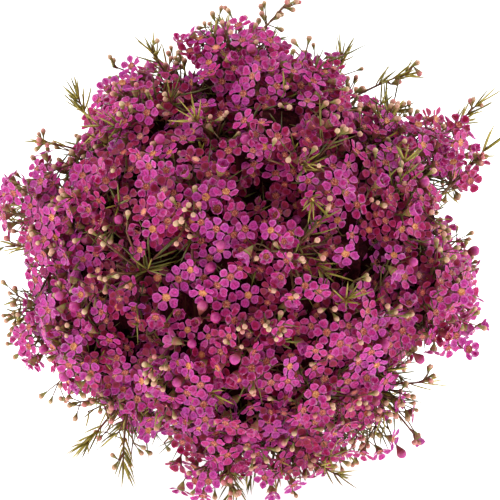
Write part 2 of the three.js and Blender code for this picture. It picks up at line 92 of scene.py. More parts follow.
# The rim stands out by so many mm, or in, at a turn round the axis and over a width, in degrees.
RIM_LOBES = np.array([
    (10, -10, 8), (28, 12, 12), (50, -9, 18), (93, 6, 14), (111, -12, 9), (149, -7, 10),
    (166, 13, 12), (203, 9, 13), (250, -8, 8), (261, 9, 7), (291, 12, 16), (331, -14, 11),
    (347, 11, 12),
])

# turn in degrees round the axis, reach from it and forward from the head's centre in mm, then the
# numbers of needles and buds, as in the part
RIM_SHOOTS = [
    (81, 154, 30, 0, 4), (95, 142, 15, 6, 0), (115, 139, 30, 6, 1), (125, 142, 20, 0, 3),
    (137, 142, 25, 8, 0), (151, 142, 35, 2, 3), (64, 138, 20, 6, 0), (48, 151, 25, 6, 3),
    (33, 172, 10, 8, 1), (24, 162, 30, 4, 3), (-35, 136, 35, 2, 3), (-47, 150, 45, 0, 2),
    (-67, 146, 50, 4, 0), (-93, 142, 55, 2, 3), (-120, 148, 50, 6, 1), (-130, 152, 35, 8, 0),
    (178, 144, 20, 4, 2),
]

# Dark gaps between the flowers: across and up from the axis, half sizes and depth, in mm.
VALLEYS = np.array([
    (-45, -4, 16, 9, 36), (-57, -13, 12, 9, 32), (-36, 4, 13, 7, 30), (-72, -7, 12, 7, 24),
    (-67, 7, 9, 6, 28), (8, 36, 10, 10, 32), (4, 27, 7, 6, 18), (20, 31, 11, 5, 20),
    (38, 20, 14, 6, 26), (34, 1, 11, 8, 30), (46, -9, 12, 6, 28), (62, -15, 9, 5, 16),
    (80, 46, 12, 6, 16), (47, -34, 13, 7, 22), (6, -10, 9, 5, 20), (-16, -21, 9, 5, 20),
    (-57, -50, 9, 6, 20), (15, -54, 9, 6, 16), (10, -74, 9, 8, 18), (-13, -78, 9, 8, 12),
    (-64, -86, 7, 8, 14), (-13, 68, 13, 8, 24), (43, 54, 8, 9, 22), (-69, 36, 9, 6, 16),
    (-36, 83, 9, 7, 20), (-7, 87, 9, 8, 8), (30, 92, 8, 8, 14), (-87, 12, 9, 6, 18),
    (19, 50, 7, 5, 12), (51, 65, 8, 6, 16), (-36, 19, 8, 5, 12), (80, -16, 14, 6, 14),
    (85, 4, 8, 5, 13), (46, 44, 9, 5, 16), (-17, 79, 9, 6, 14), (60, 5, 34, 16, 9),
    (-40, -2, 30, 12, 8),
])
# The flowers' own rim stands out or in from the part's: turn and width in degrees, rise in mm.
FLOWER_LOBES = np.array([
    (0, 8, 7), (8, -20, 5), (28, 13, 10), (47, -34, 12), (72, -5, 7), (80, -14, 4), (86, 6, 6),
    (101, -14, 5), (112, -15, 7), (122, 5, 6), (135, 17, 10), (151, -14, 7), (178, 10, 7),
    (190, -22, 7), (204, -5, 8), (228, -16, 12), (250, -13, 7), (270, -40, 8), (303, -30, 8),
    (318, -38, 10), (341, 16, 7),
])

# Flowers that fill in between the sprays: across and up from the axis, and how many.
FILLS = [
    (-19, -15, 5), (-7, 2, 4), (84, -9, 5), (7, 68, 6), (0, 57, 4), (-51, 54, 6), (57, 12, 3),
    (-101, -24, 5), (-3, -98, 4), (93, -50, 4),
]
# Loose sprigs at the rim: turn in degrees, reach and forward in mm, and how many flowers.
SPRIGS = [
    (32, 140, 38, 3), (21, 139, 34, 5), (28, 130, 40, 3), (-11, 134, 35, 3), (-20, 139, 30, 4),
    (-46, 126, 40, 3), (-55, 137, 40, 3), (259, 136, 45, 4), (203, 136, 30, 4), (192, 124, 30, 2),
    (158, 132, 30, 4), (167, 138, 30, 4), (125, 125, 30, 3), (104, 125, 30, 4), (99, 128, 30, 3),
    (68, 118, 30, 4), (-82, 136, 45, 3),
]
# Single blooms on long stalks: turn, reach, forward and kind.
LONE_BLOOMS = [(-47, 146, 42, "cup"), (-52, 147, 40, "ball"), (-31, 117, 50, "ball")]

# ---- How the flowers are dealt out, in mm --------------------------------------------------------

KIND_SHARES = {"open": 0.78, "half": 0.10, "cup": 0.03, "ball": 0.09}
YOUNG_SHARE = 0.2  # of the flowers have pale discs
FLOWER_REACH = 7.6  # from a flower's middle to its petals' tips
FLOWER_GAP_ACROSS = 11.4  # between the middles of flowers that stand side by side
FLOWER_GAP_ABOVE = 4.2  # between the middles of flowers that stand over each other
CYME_SIZES = {4: 0.1, 5: 0.2, 6: 0.3, 7: 0.25, 8: 0.15}  # numbers of flowers and their shares
CYME_RING = (9.5, 13.0)
CYME_DROP = (1.0, 7.5)
CYME_FORK_DEPTH = 13
DEEP_SPREAD = 27
DEEP_DEPTH = (8, 19)
SPRIG_SPREAD = 13
BUD_REACH = 7  # of a rim shoot's buds and needles past its tip
GAP_DEPTH = 22  # where a valley is this deep, only these shares of the flowers stand in it
KEPT_IN_GAPS = 0.3
DEEP_KEPT_IN_GAPS = 0.75
FLOWER_SCALES = (0.88, 1.1)
CUP_SCALE = 1.15  # of the cups that stand out
CUP_TINT = 0.15
CUP_LIFT = 3
CYME_TINT_SPREAD = 0.16
FLOWER_TINT_SPREAD = 0.14
PUSH_ROUNDS = 14
PUSH_SHARE = 0.32  # of the way apart that flowers are moved in one round

# Where cup-shaped flowers and leafy tips stand out among the others, in mm from the axis.
CUP_PLACES = [
    (-14, 26), (-34, 46), (-7, 44), (57, 56), (75, 36), (89, 23), (21, -31), (26, -44),
    (104, -8), (-44, -59),
]
LEAFY_PLACES = [
    (48, 45), (30, 48), (62, 38), (84, 50), (36, 28), (-90, 82), (-84, 74), (75, 86),
    (112, 38), (116, 26), (-68, -101), (-80, -92), (76, -94), (50, -112), (-26, 78), (-50, 108),
    (58, -28), (44, -8), (52, -66), (-19, -76), (-30, 66),
]

# ---- True sizes of the plant, in mm --------------------------------------------------------------

DISC_RADIUS = 2.45
STYLE_HEIGHT = 2.3
PETAL_LENGTH = 5.1
PETAL_HALF_WIDTH = 2.65
PETAL_WIDEST = 0.58  # the share of its length where a petal is widest
PETAL_RIPPLE = 0.4
PETAL_THICKNESS = 0.35
CALYX_LENGTH = 5.2
BALL_BUD_RADIUS = 3.0
SMALL_BUD_RADIUS = 1.6
PEDICEL_RADIUS = 0.42
TWIG_RADIUS = 0.75
NEEDLE_HALF_WIDTH = 0.58

# ---- Random draws --------------------------------------------------------------------------------

WORD = 0xFFFFFFFF


def part_stream(seed):
    """The part's own repeatable stream of numbers from 0 to 1 (mulberry32)."""
    state = seed & WORD

    def draw(low=0.0, high=1.0):
        nonlocal state
        state = (state + 0x6D2B79F5) & WORD
        mixed = (state ^ (state >> 15)) * (state | 1) & WORD
        mixed ^= (mixed + (mixed ^ (mixed >> 7)) * (mixed | 61)) & WORD
        return low + (high - low) * ((mixed ^ (mixed >> 14)) & WORD) / (WORD + 1)

    return draw


def part_vector(draw, size):
    return np.array([draw(-size, size), draw(-size, size), draw(-size, size)])


# ---- Vectors -------------------------------------------------------------------------------------


def unit(vectors):
    vectors = np.asarray(vectors, float)
    return vectors / np.maximum(np.linalg.norm(vectors, axis=-1, keepdims=True), 1e-9)


def frames_facing(outward, twist):
    """One rotation matrix for each direction: its third column is the direction."""
    outward = np.atleast_2d(outward)
    helper = np.where(np.abs(outward[:, 2:3]) < 0.9, [[0.0, 0.0, 1.0]], [[1.0, 0.0, 0.0]])
    first = unit(np.cross(helper, outward))
    second = np.cross(outward, first)
    cosine, sine = np.cos(twist)[:, None], np.sin(twist)[:, None]
    columns = [first * cosine + second * sine, second * cosine - first * sine, outward]
    return np.stack(columns, axis=-1)


def axes_of(direction):
    """Three axes as columns, the last of them along the direction."""
    return frames_facing(direction, np.zeros(1))[0]


def spoke(axes, angle):
    """The direction at an angle round the last axis."""
    return axes[:, 0] * math.cos(angle) + axes[:, 1] * math.sin(angle)


def points_on(path, shares):
    """Points at shares of a path's steps."""
    steps = np.linspace(0, 1, len(path))
    return np.stack([np.interp(shares, steps, path[:, k]) for k in range(3)], axis=-1)


def bezier(start, bend, end, steps):
    """Points of quadratic curves, one row for each curve."""
    t = np.linspace(0, 1, steps)[None, :, None]
    start, bend, end = (np.atleast_2d(p)[:, None, :] for p in (start, bend, end))
    return (1 - t) ** 2 * start + 2 * t * (1 - t) * bend + t**2 * end


# ---- The head's frame and surface ----------------------------------------------------------------

tilt = math.asin((HEAD_CENTRE_HEIGHT - CUT_END_HEIGHT) / STEM_LENGTH)
HEAD_AXES = np.array(
    [
        [1, 0, 0],
        [0, math.sin(tilt), math.cos(tilt)],
        [0, -math.cos(tilt), math.sin(tilt)],
    ]
)
CROWNWARD = HEAD_AXES[2]
HEAD_CENTRE = np.array([0, 0, HEAD_CENTRE_HEIGHT])


def placed(points):
    """Points of the head's frame in the part's layout."""
    return np.asarray(points, float) @ HEAD_AXES + HEAD_CENTRE


def settled(points):
    """The round head is pressed flat where it meets the surface."""
    points = np.array(points, float)
    above = (points[..., 2] - REST_HEIGHT) / REST_SOFTNESS
    points[..., 2] = REST_HEIGHT + REST_SOFTNESS * np.logaddexp(0, above)
    return points


def spiral_direction(index, count):
    """Even directions over the head, in a spiral from the crown to the back."""
    cosine = 1 - (1 - math.cos(HEAD_SPREAD)) * (index + 0.5) / count
    sine = math.sqrt(1 - cosine * cosine)
    turn = index * GOLDEN_ANGLE
    return np.array([sine * math.cos(turn), sine * math.sin(turn), cosine])


def head_semi_axes(direction, rise):
    stretch = BACK_STRETCH if direction[2] < 0 else 1
    across = HEAD_RADIUS + rise
    return np.array([across, across, (CROWN_HEIGHT + rise) * stretch])


def lobe_rise(direction, lobes=RIM_LOBES):
    """How far the rim's lobes stand out in a direction. They fade towards the crown."""
    turn = math.atan2(direction[1], direction[0]) / DEGREE
    apart = (turn - lobes[:, 0] + 180) % 360 - 180
    rises = lobes[:, 1] * np.exp(-((apart / lobes[:, 2]) ** 2))
    return (1 - direction[2] ** 2) ** 2 * np.sum(rises)


def head_surface(direction, rise):
    semi_axes = head_semi_axes(direction, rise + lobe_rise(direction))
    return settled(placed(direction * semi_axes))


def head_outward(direction):
    return unit(direction / head_semi_axes(direction, 0) @ HEAD_AXES)


def kept_above(direction, lowest):
    direction[2] = max(direction[2], lowest)
    return unit(direction)


def in_head_frame(points):
    return (np.asarray(points, float) - HEAD_CENTRE) @ HEAD_AXES.T


def valley_depth(points):
    """How far the crown's gaps lie below its even surface at each point."""
    across = in_head_frame(points)[:, None, :2] - VALLEYS[None, :, :2]
    nearness = np.exp(-np.sum((across / VALLEYS[None, :, 2:4]) ** 2, axis=2))
    return np.max(nearness * VALLEYS[None, :, 4], axis=1)


# The tie is symmetric about its centre, so its box says where the layout lies in the frame.
tie_low, tie_high = (np.array(corner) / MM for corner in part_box("tie"))
PLACE = (tie_low + tie_high) / 2 - placed([0, 0, -TIE_DISTANCE])
FLOOR = -PLACE[2]

# ---- Layout of sprays, cymes and stems -----------------------------------------------------------


def laid_out_spray(index):
    draw = part_stream(SEED * 1000 + index)
    direction = spiral_direction(index, SPRAY_COUNT)
    rise = draw(*SPRAY_RISE)
    top = head_surface(direction, rise)
    from_stems = unit(top - placed([0, 0, -SPRAY_SOURCE]))
    axis = head_outward(direction) * 0.72 + from_stems * 0.38 + part_vector(draw, 0.08)
    axis = kept_above(unit(axis), -0.45)
    return SimpleNamespace(
        node=f"spray_{index + 1:02d}",
        direction=direction,
        rise=rise,
        top=top,
        axis=axis,
        base=top - axis * SPRAY_DEPTH,
        heart=top - axis * 0.55 * SPRAY_DEPTH,
    )


stem_directions = np.array([spiral_direction(i, STEM_COUNT) for i in range(STEM_COUNT)])
sprays = [laid_out_spray(i) for i in range(SPRAY_COUNT)]
spray_directions = np.array([spray.direction for spray in sprays])


def nearest(direction, directions):
    return int(np.argmax(directions @ direction))


def laid_out_cyme(index):
    """A cluster of flowers on one twig, where the part has one larger flower."""
    draw = part_stream(SEED * 3000 + index)
    direction = spiral_direction(index, CYME_COUNT)
    owner = nearest(direction, spray_directions)
    spray = sprays[owner]
    place = head_surface(direction, spray.rise + draw(-4, 4))
    offset = place - spray.top
    sideways = offset - spray.axis * offset.dot(spray.axis)
    place = place - 0.06 * sideways
    place = place - spray.axis * 5 * (np.linalg.norm(sideways) / SPRAY_HALF_WIDTH) ** 2
    outward = head_outward(direction) * 0.6 + spray.axis * 0.4 + sideways * 0.008
    outward = kept_above(unit(outward + part_vector(draw, 0.16)), -0.6)
    return SimpleNamespace(
        direction=direction, spray=owner, place=place, outward=outward, reach=draw(-12, 4)
    )


cymes = [laid_out_cyme(i) for i in range(CYME_COUNT)]

# ---- Meshes --------------------------------------------------------------------------------------

GRADES = ("along", "across", "tint", "age")


class Shape:
    """A small mesh that is stamped many times."""

    def __init__(self):
        self.points = []  # place, share along, share across, and whether it is on a sharp rim
        self.faces = []  # corners and material

    def point(self, position, along=0.0, across=0.0, rim=False):
        self.points.append((position, along, across, rim))
        return len(self.points) - 1

    def face(self, corners, material):
        self.faces.append((corners, material))

    def band(self, low, high, material):
        """Four-sided faces between two closed rings of points."""
        count = len(low)
        for i in range(count):
            j = (i + 1) % count
            self.face([low[i], low[j], high[j], high[i]], material)

    def fan(self, ring, tip, material):
        count = len(ring)
        for i in range(count):
            self.face([ring[i], ring[(i + 1) % count], tip], material)

    def corners(self):
        """The corner numbers of all faces in a row, and how many each face has."""
        faces = [corners for corners, _ in self.faces]
        return np.concatenate(faces), np.array([len(corners) for corners in faces])

    def arrays(self):
        places, along, across, rim = (np.array(column) for column in zip(*self.points))
        loops, sizes = self.corners()
        materials = [material for _, material in self.faces]
        return SimpleNamespace(
            points=places, along=along, across=across, rim=rim, loops=loops, sizes=sizes,
            materials=materials,
        )


class Growth:
    """Everything that will be one piece of the scene."""

    def __init__(self, name):
        self.name = name
        self.chunks = []
        self.count = 0
        self.slots = []

    def slot_of(self, material):
        if material not in self.slots:
            self.slots.append(material)
        return self.slots.index(material)

    def add(self, points, loops, sizes, materials, grades, rim):
        slots = np.array([self.slot_of(m) for m in materials])
        self.chunks.append((points, loops + self.count, sizes, slots, grades, rim))
        self.count += len(points)

    def stamp(self, shape, origins, outward, twist, scales, tint, age):
        """Copies of a shape at the origins, each facing outward and twisted round that."""
        copies, corners = len(origins), len(shape.points)
        turned = np.einsum("kij,nj->kni", frames_facing(outward, twist), shape.points)
        points = origins[:, None, :] + scales[:, None, None] * turned
        loops = shape.loops[None, :] + corners * np.arange(copies)[:, None]
        along, across, rim = (np.tile(v, copies) for v in (shape.along, shape.across, shape.rim))
        grades = np.stack([along, across, np.repeat(tint, corners), np.repeat(age, corners)], axis=1)
        sizes = np.tile(shape.sizes, copies)
        materials = shape.materials * copies
        self.add(points.reshape(-1, 3), loops.ravel(), sizes, materials, grades, rim)

    def tubes(self, paths, radii, sides, material, tint, age=None, flatness=1.0):
        """Closed tubes along curves. paths is curve, step, xyz, and radii is curve, step."""
        curves, steps, _ = paths.shape
        if curves == 0:
            return
        tangents = unit(np.gradient(paths, axis=1))
        helper = np.where(np.abs(tangents[:, 0, 2:3]) < 0.9, [[0.0, 0, 1]], [[1.0, 0, 0]])
        side = unit(np.cross(helper, tangents[:, 0]))
        rings = []
        turns = np.arange(sides) / sides * TURN
        for step in range(steps):
            tangent = tangents[:, step]
            side = unit(side - tangent * np.sum(side * tangent, axis=1, keepdims=True))
            up = np.cross(tangent, side)
            ring = side[:, None, :] * np.cos(turns)[None, :, None]
            ring = ring + flatness * up[:, None, :] * np.sin(turns)[None, :, None]
            rings.append(paths[:, step, None, :] + ring * radii[:, step, None, None])
        points = np.stack(rings, axis=1).reshape(-1, 3)
        pattern, sizes = tube_pattern(steps, sides)
        loops = pattern[None, :] + steps * sides * np.arange(curves)[:, None]
        along = np.tile(np.repeat(np.linspace(0, 1, steps), sides), curves)
        across = np.tile(np.arange(sides) / sides, steps * curves)
        age = np.zeros(curves) if age is None else age
        each = steps * sides
        grades = np.stack([along, across, np.repeat(tint, each), np.repeat(age, each)], axis=1)
        materials = [material] * (len(sizes) * curves)
        rim = np.zeros(len(points), bool)
        self.add(points, loops.ravel(), np.tile(sizes, curves), materials, grades, rim)

    def piece(self, *nodes, slot):
        """The finished object, which rides with the bunch and stands for its nodes."""
        points, loops, sizes, slots, grades, rim = (
            np.concatenate([chunk[k] for chunk in self.chunks]) for k in range(6)
        )
        mesh = bpy.data.meshes.new(self.name)
        mesh.vertices.add(len(points))
        points[:, 2] = np.maximum(points[:, 2], FLOOR)
        mesh.vertices.foreach_set("co", ((points + PLACE) * MM).ravel())
        mesh.loops.add(len(loops))
        mesh.loops.foreach_set("vertex_index", loops.astype(np.int32))
        mesh.polygons.add(len(sizes))
        starts = np.concatenate([[0], np.cumsum(sizes)[:-1]])
        mesh.polygons.foreach_set("loop_start", starts.astype(np.int32))
        for material in self.slots:
            mesh.materials.append(bpy.data.materials[material])
        mesh.polygons.foreach_set("material_index", slots.astype(np.int32))
        mesh.update(calc_edges=True)
        mark_sharp_edges(mesh, rim)
        for k, grade in enumerate(GRADES):
            attribute = mesh.attributes.new(grade, "FLOAT", "POINT")
            attribute.data.foreach_set("value", grades[:, k].astype(np.float32))
        mesh.validate()
        piece = bpy.data.objects.new(self.name, mesh)
        bpy.context.scene.collection.objects.link(piece)
        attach(piece, "root")
        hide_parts(*nodes)
        return piece


def mark_sharp_edges(mesh, rim):
    ends = np.zeros(len(mesh.edges) * 2, np.int32)
    mesh.edges.foreach_get("vertices", ends)
    sharp = rim[ends].reshape(-1, 2).all(axis=1)
    attribute = mesh.attributes.new("sharp_edge", "BOOLEAN", "EDGE")
    attribute.data.foreach_set("value", sharp)


def tube_pattern(steps, sides):
    """Corner numbers and sizes of a closed tube's faces, ring after ring."""
    shape = Shape()
    rings = [[step * sides + i for i in range(sides)] for step in range(steps)]
    for low, high in zip(rings, rings[1:]):
        shape.band(low, high, "")
    shape.face(rings[0][::-1], "")
    shape.face(rings[-1], "")
    return shape.corners()


# ---- Shapes of flowers and buds ------------------------------------------------------------------


def petal_half_width(t):
    """Share of the petal's half width at a share t of its length: a claw, then a round blade."""
    if t > PETAL_WIDEST:
        return math.sqrt(max(0.0, 1 - ((t - PETAL_WIDEST) / (1 - PETAL_WIDEST)) ** 2))
    return 0.3 + 0.7 * math.sin(t / PETAL_WIDEST * math.pi / 2) ** 1.2


def petal_rim():
    """Points round a petal's blade as shares of its length and half width."""
    stations = (0.0, 0.2, 0.45, 0.7, 0.9)
    left = [(t, petal_half_width(t)) for t in stations]
    right = [(t, -w) for t, w in reversed(left)]
    return left + [(1.0, 0.0)] + right


def add_petal(shape, draw, turn, lift, cup, wrap, length, half_width, base_radius, base_height):
    """One petal: lift turns it up from the flower's plane, cup hollows it and wrap curls it round."""

    def corner(t, s, drop):
        hollow = cup * (0.55 * s * s + 0.9 * (t - 0.5) ** 2) - drop
        reach = t * length
        radius = base_radius + reach * math.cos(lift) - hollow * math.sin(lift)
        height = base_height + reach * math.sin(lift) + hollow * math.cos(lift)
        sideways = s * half_width
        angle = sideways / max(radius, 0.8)
        x = radius + (radius * math.cos(angle) - radius) * wrap
        y = sideways + (radius * math.sin(angle) - sideways) * wrap
        cosine, sine = math.cos(turn), math.sin(turn)
        return (x * cosine - y * sine, x * sine + y * cosine, height)

    outline = petal_rim()
    middle = 0.55
    rim = []
    for t, s in outline:
        wave = draw(-1, 1)
        wide, high = 1 + 0.1 * wave, PETAL_RIPPLE * wave * t
        rim.append(shape.point(corner(t * wide, s * wide, high), t, s, True))
    inner = []
    for t, s in outline:
        inner_t, inner_s = middle + (t - middle) * 0.55, s * 0.55
        inner.append(shape.point(corner(inner_t, inner_s, 0), inner_t, inner_s))
    heart = shape.point(corner(middle, 0, 0), middle, 0)
    back = shape.point(corner(middle, 0, PETAL_THICKNESS), middle, 0)
    shape.band(inner, rim, "petal")
    shape.fan(inner[::-1], heart, "petal")
    shape.fan(rim, back, "petal_back")


def ring_of(shape, radius, height, count, along, rim=False, wobble=0.0):
    found = []
    for i in range(count):
        angle = i / count * TURN
        r = radius * (1 + wobble * (1 if i % 2 else -1))
        position = (r * math.cos(angle), r * math.sin(angle), height)
        found.append(shape.point(position, along, i / count, rim))
    return found


def add_disc_and_calyx(shape, open_radius, sides):
    """The cupped disc between the petals, and the green cone under it down to its stalk."""
    centre = shape.point((0, 0, -0.55), 0.0)
    inner = ring_of(shape, 0.5 * open_radius, -0.35, sides, 0.35)
    crest = ring_of(shape, 0.86 * open_radius, 0.22, sides, 0.75)
    edge = ring_of(shape, open_radius, 0.0, sides, 1.0, rim=True)
    shape.fan(inner, centre, "disc")
    shape.band(crest, inner, "disc")
    shape.band(edge, crest, "disc")
    shoulder = ring_of(shape, 0.93 * open_radius, -1.3, sides, 0.25, wobble=0.04)
    waist = ring_of(shape, 0.5 * open_radius, -3.6, sides, 0.65, wobble=0.05)
    foot = ring_of(shape, PEDICEL_RADIUS, -CALYX_LENGTH, sides, 1.0)
    shape.band(shoulder, edge, "calyx")
    shape.band(waist, shoulder, "calyx")
    shape.band(foot, waist, "calyx")
    shape.face(foot[::-1], "calyx")


def add_spindle(shape, foot, tip, radius, waist_share, material):
    """A slim three-sided spindle, thickest at a share of its length."""
    foot, tip = np.array(foot, float), np.array(tip, float)
    axis = unit(tip - foot)
    side = unit(np.cross(axis, [0.3, 0.5, 0.8]))
    other = np.cross(axis, side)
    middle = foot + (tip - foot) * waist_share
    low = shape.point(foot, 0.0)
    high = shape.point(tip, 1.0)
    waist = []
    for i in range(3):
        angle = i / 3 * TURN
        offset = radius * (math.cos(angle) * side + math.sin(angle) * other)
        waist.append(shape.point(middle + offset, waist_share))
    shape.fan(waist[::-1], low, material)
    shape.fan(waist, high, material)


def add_stamens(shape, count, ring_radius, lean, height, tip_radius):
    for i in range(count):
        angle = (i + 0.5) / count * TURN
        cosine, sine = math.cos(angle), math.sin(angle)
        foot = (ring_radius * cosine, ring_radius * sine, 0.05)
        tip = ((ring_radius + lean) * cosine, (ring_radius + lean) * sine, height)
        add_spindle(shape, foot, tip, tip_radius, 0.72, "stamen")


def flower_shape(seed, lift, cup, wrap, spread=1.0):
    """A flower of five petals, each a little different from the next."""
    draw = part_stream(seed)
    shape = Shape()
    for petal in range(5):
        add_petal(
            shape,
            draw,
            turn=petal / 5 * TURN + draw(-0.07, 0.07),
            lift=(lift + draw(-9, 9)) * DEGREE,
            cup=cup * draw(0.8, 1.2),
            wrap=wrap,
            length=PETAL_LENGTH * spread * draw(0.93, 1.05),
            half_width=PETAL_HALF_WIDTH * draw(0.93, 1.06),
            base_radius=0.9 * DISC_RADIUS,
            base_height=0.02 * (petal % 2),
        )
    add_disc_and_calyx(shape, DISC_RADIUS, 8)
    add_stamens(shape, 10, 0.8 * DISC_RADIUS, -0.35, 1.15, 0.27)
    add_spindle(shape, (0, 0, -0.5), (0, 0, STYLE_HEIGHT), 0.26, 0.85, "stamen")
    return shape.arrays()


def plain_flower_shape(seed, lift):
    """A flower that stands further in, with flatter petals and no stamens."""
    draw = part_stream(seed)
    shape = Shape()
    for petal in range(5):
        add_plain_petal(shape, petal / 5 * TURN + draw(-0.1, 0.1), (lift + draw(-12, 12)) * DEGREE)
    sides = 6
    centre = shape.point((0, 0, -0.2), 0.1)
    edge = ring_of(shape, DISC_RADIUS, 0.0, sides, 0.9, rim=True)
    waist = ring_of(shape, 0.6 * DISC_RADIUS, -2.8, sides, 0.5)
    foot = shape.point((0, 0, -CALYX_LENGTH), 1.0)
    shape.fan(edge, centre, "disc")
    shape.band(waist, edge, "calyx")
    shape.fan(waist[::-1], foot, "calyx")
    return shape.arrays()


def add_plain_petal(shape, turn, lift):
    cosine, sine = math.cos(turn), math.sin(turn)

    def corner(t, s, height):
        radius = 0.9 * DISC_RADIUS + t * PETAL_LENGTH * math.cos(lift)
        sideways = s * PETAL_HALF_WIDTH
        x, y = radius * cosine - sideways * sine, radius * sine + sideways * cosine
        return (x, y, t * PETAL_LENGTH * math.sin(lift) + height)

    left = [(t, petal_half_width(t)) for t in (0.0, 0.35, 0.7, 0.92)]
    outline = left + [(1.0, 0.0)] + [(t, -w) for t, w in reversed(left)]
    rim = [shape.point(corner(t, s, 0.5 * s * s), t, s, True) for t, s in outline]
    middle = shape.point(corner(0.55, 0, 0.0), 0.55, 0)
    back = shape.point(corner(0.55, 0, -PETAL_THICKNESS), 0.55, 0)
    shape.fan(rim[::-1], middle, "petal")
    shape.fan(rim, back, "petal_back")


def globe_bud_shape(radius, seams, sides, rings, cone_length, neck):
    """A closed bud: a globe with the seams of its folded petals, on a green cone."""
    shape = Shape()
    levels = []
    for ring in range(1, rings):
        polar = ring / rings * math.pi * 0.80
        height = radius * math.cos(polar)
        wobble = seams if ring < rings - 1 else 0.0
        along = ring / rings * 0.5
        levels.append(ring_of(shape, radius * math.sin(polar), height, sides, along, wobble=wobble))
    top = shape.point((0, 0, radius * 1.04), 0.0)
    shape.fan(levels[0], top, "bud")
    for high, low in zip(levels, levels[1:]):
        shape.band(low, high, "bud")
    collar = levels[-1]
    low_edge = radius * math.cos((rings - 1) / rings * math.pi * 0.80)
    waist = ring_of(shape, neck, low_edge - 0.55 * cone_length, sides, 0.8)
    foot = ring_of(shape, PEDICEL_RADIUS, low_edge - cone_length, sides, 1.0)
    shape.band(waist, collar, "calyx")
    shape.band(foot, waist, "calyx")
    shape.face(foot[::-1], "calyx")
    return shape.arrays()


BALL_BUD = globe_bud_shape(BALL_BUD_RADIUS, 0.05, 10, 6, 4.6, 1.3)
SMALL_BUD = globe_bud_shape(SMALL_BUD_RADIUS, 0.0, 7, 5, 3.4, 0.75)
FLOWER_SHAPES = {
    "open": [
        flower_shape(11, lift=10, cup=0.8, wrap=0.0),
        flower_shape(12, lift=18, cup=0.9, wrap=0.1),
        flower_shape(13, lift=4, cup=0.7, wrap=0.0),
        flower_shape(14, lift=26, cup=1.0, wrap=0.2),
    ],
    "half": [
        flower_shape(21, lift=46, cup=0.8, wrap=0.6),
        flower_shape(22, lift=58, cup=0.8, wrap=0.8),
    ],
    "cup": [flower_shape(31, lift=74, cup=0.2, wrap=1.0, spread=0.95)],
    "deep": [plain_flower_shape(41, 14), plain_flower_shape(42, 30)],
    "ball": [BALL_BUD],
}
BALL_TINTS = (0.72, 1.0)
BALL_BUD_FOOT = -BALL_BUD.points[:, 2].min()
SMALL_BUD_FOOT = -SMALL_BUD.points[:, 2].min()
STALK_OVERLAP = 0.4

# ---- Materials -----------------------------------------------------------------------------------


def srgb(red, green, blue):
    """A colour given as screen values from 0 to 255."""
    linear = []
    for value in (red, green, blue):
        share = value / 255
        linear.append(share / 12.92 if share <= 0.04045 else ((share + 0.055) / 1.055) ** 2.4)
    return (*linear, 1.0)


class Paint:
    """A material's nodes, with short calls for the few kinds that are used."""

    def __init__(self, name):
        self.material = bpy.data.materials.new(name)
        self.material.use_nodes = True
        self.nodes = self.material.node_tree.nodes
        self.shader = self.nodes["Principled BSDF"]

    def feed(self, socket, value):
        """Links a socket to another one, or sets it to a plain value."""
        if isinstance(value, bpy.types.NodeSocket):
            self.material.node_tree.links.new(value, socket)
        else:
            socket.default_value = value

    def grade(self, name):
        node = self.nodes.new("ShaderNodeAttribute")
        node.attribute_name = name
        return node.outputs["Fac"]

    def place(self):
        return self.nodes.new("ShaderNodeTexCoord").outputs["Object"]

    def stretched(self, scale):
        node = self.nodes.new("ShaderNodeMapping")
        node.inputs["Scale"].default_value = scale
        self.feed(node.inputs["Vector"], self.place())
        return node.outputs["Vector"]

    def ramp(self, source, *stops):
        """Colours at places from 0 to 1: each stop is a place and its screen values."""
        node = self.nodes.new("ShaderNodeValToRGB")
        elements = node.color_ramp.elements
        while len(elements) < len(stops):
            elements.new(0.5)
        for element, (place, *colour) in zip(elements, stops):
            element.position = place
            element.color = srgb(*colour)
        self.feed(node.inputs["Fac"], source)
        return node.outputs["Color"]

    def mix(self, share, first, second, blend="MIX"):
        node = self.nodes.new("ShaderNodeMix")
        node.data_type = "RGBA"
        node.blend_type = blend
        for index, value in ((0, share), (6, first), (7, second)):  # its sockets for colours
            self.feed(node.inputs[index], value)
        return node.outputs[2]

    def shaded(self, colour, value):
        """A colour made darker or lighter by a number that varies over the surface."""
        node = self.nodes.new("ShaderNodeCombineColor")
        for socket in node.inputs:
            self.feed(socket, value)
        return self.mix(1.0, colour, node.outputs["Color"], "MULTIPLY")

    def math(self, operation, first, second=0.0):
        node = self.nodes.new("ShaderNodeMath")
        node.operation = operation
        self.feed(node.inputs[0], first)
        self.feed(node.inputs[1], second)
        return node.outputs[0]

    def noise(self, scale, detail=2.0, vector=None):
        node = self.nodes.new("ShaderNodeTexNoise")
        node.inputs["Scale"].default_value = scale
        node.inputs["Detail"].default_value = detail
        self.feed(node.inputs["Vector"], self.place() if vector is None else vector)
        return node.outputs["Fac"]

    def span(self, source, low, high, to_low=0.0, to_high=1.0):
        node = self.nodes.new("ShaderNodeMapRange")
        names = ("Value", "From Min", "From Max", "To Min", "To Max")
        for name, value in zip(names, (source, low, high, to_low, to_high)):
            self.feed(node.inputs[name], value)
        return node.outputs["Result"]

    def bump(self, height, strength, distance):
        """Raises the surface by a height, over a distance in mm."""
        node = self.nodes.new("ShaderNodeBump")
        node.inputs["Strength"].default_value = strength
        node.inputs["Distance"].default_value = distance * MM
        self.feed(node.inputs["Height"], height)
        self.feed(self.shader.inputs["Normal"], node.outputs["Normal"])

    def finish(self, colour, roughness, specular=0.5, subsurface=0.0):
        self.feed(self.shader.inputs["Base Color"], colour)
        self.feed(self.shader.inputs["Roughness"], roughness)
        self.shader.inputs["Specular IOR Level"].default_value = specular
        self.shader.inputs["Subsurface Weight"].default_value = subsurface
        self.shader.inputs["Subsurface Radius"].default_value = (1.0, 0.35, 0.6)
        self.shader.inputs["Subsurface Scale"].default_value = 0.6 * MM


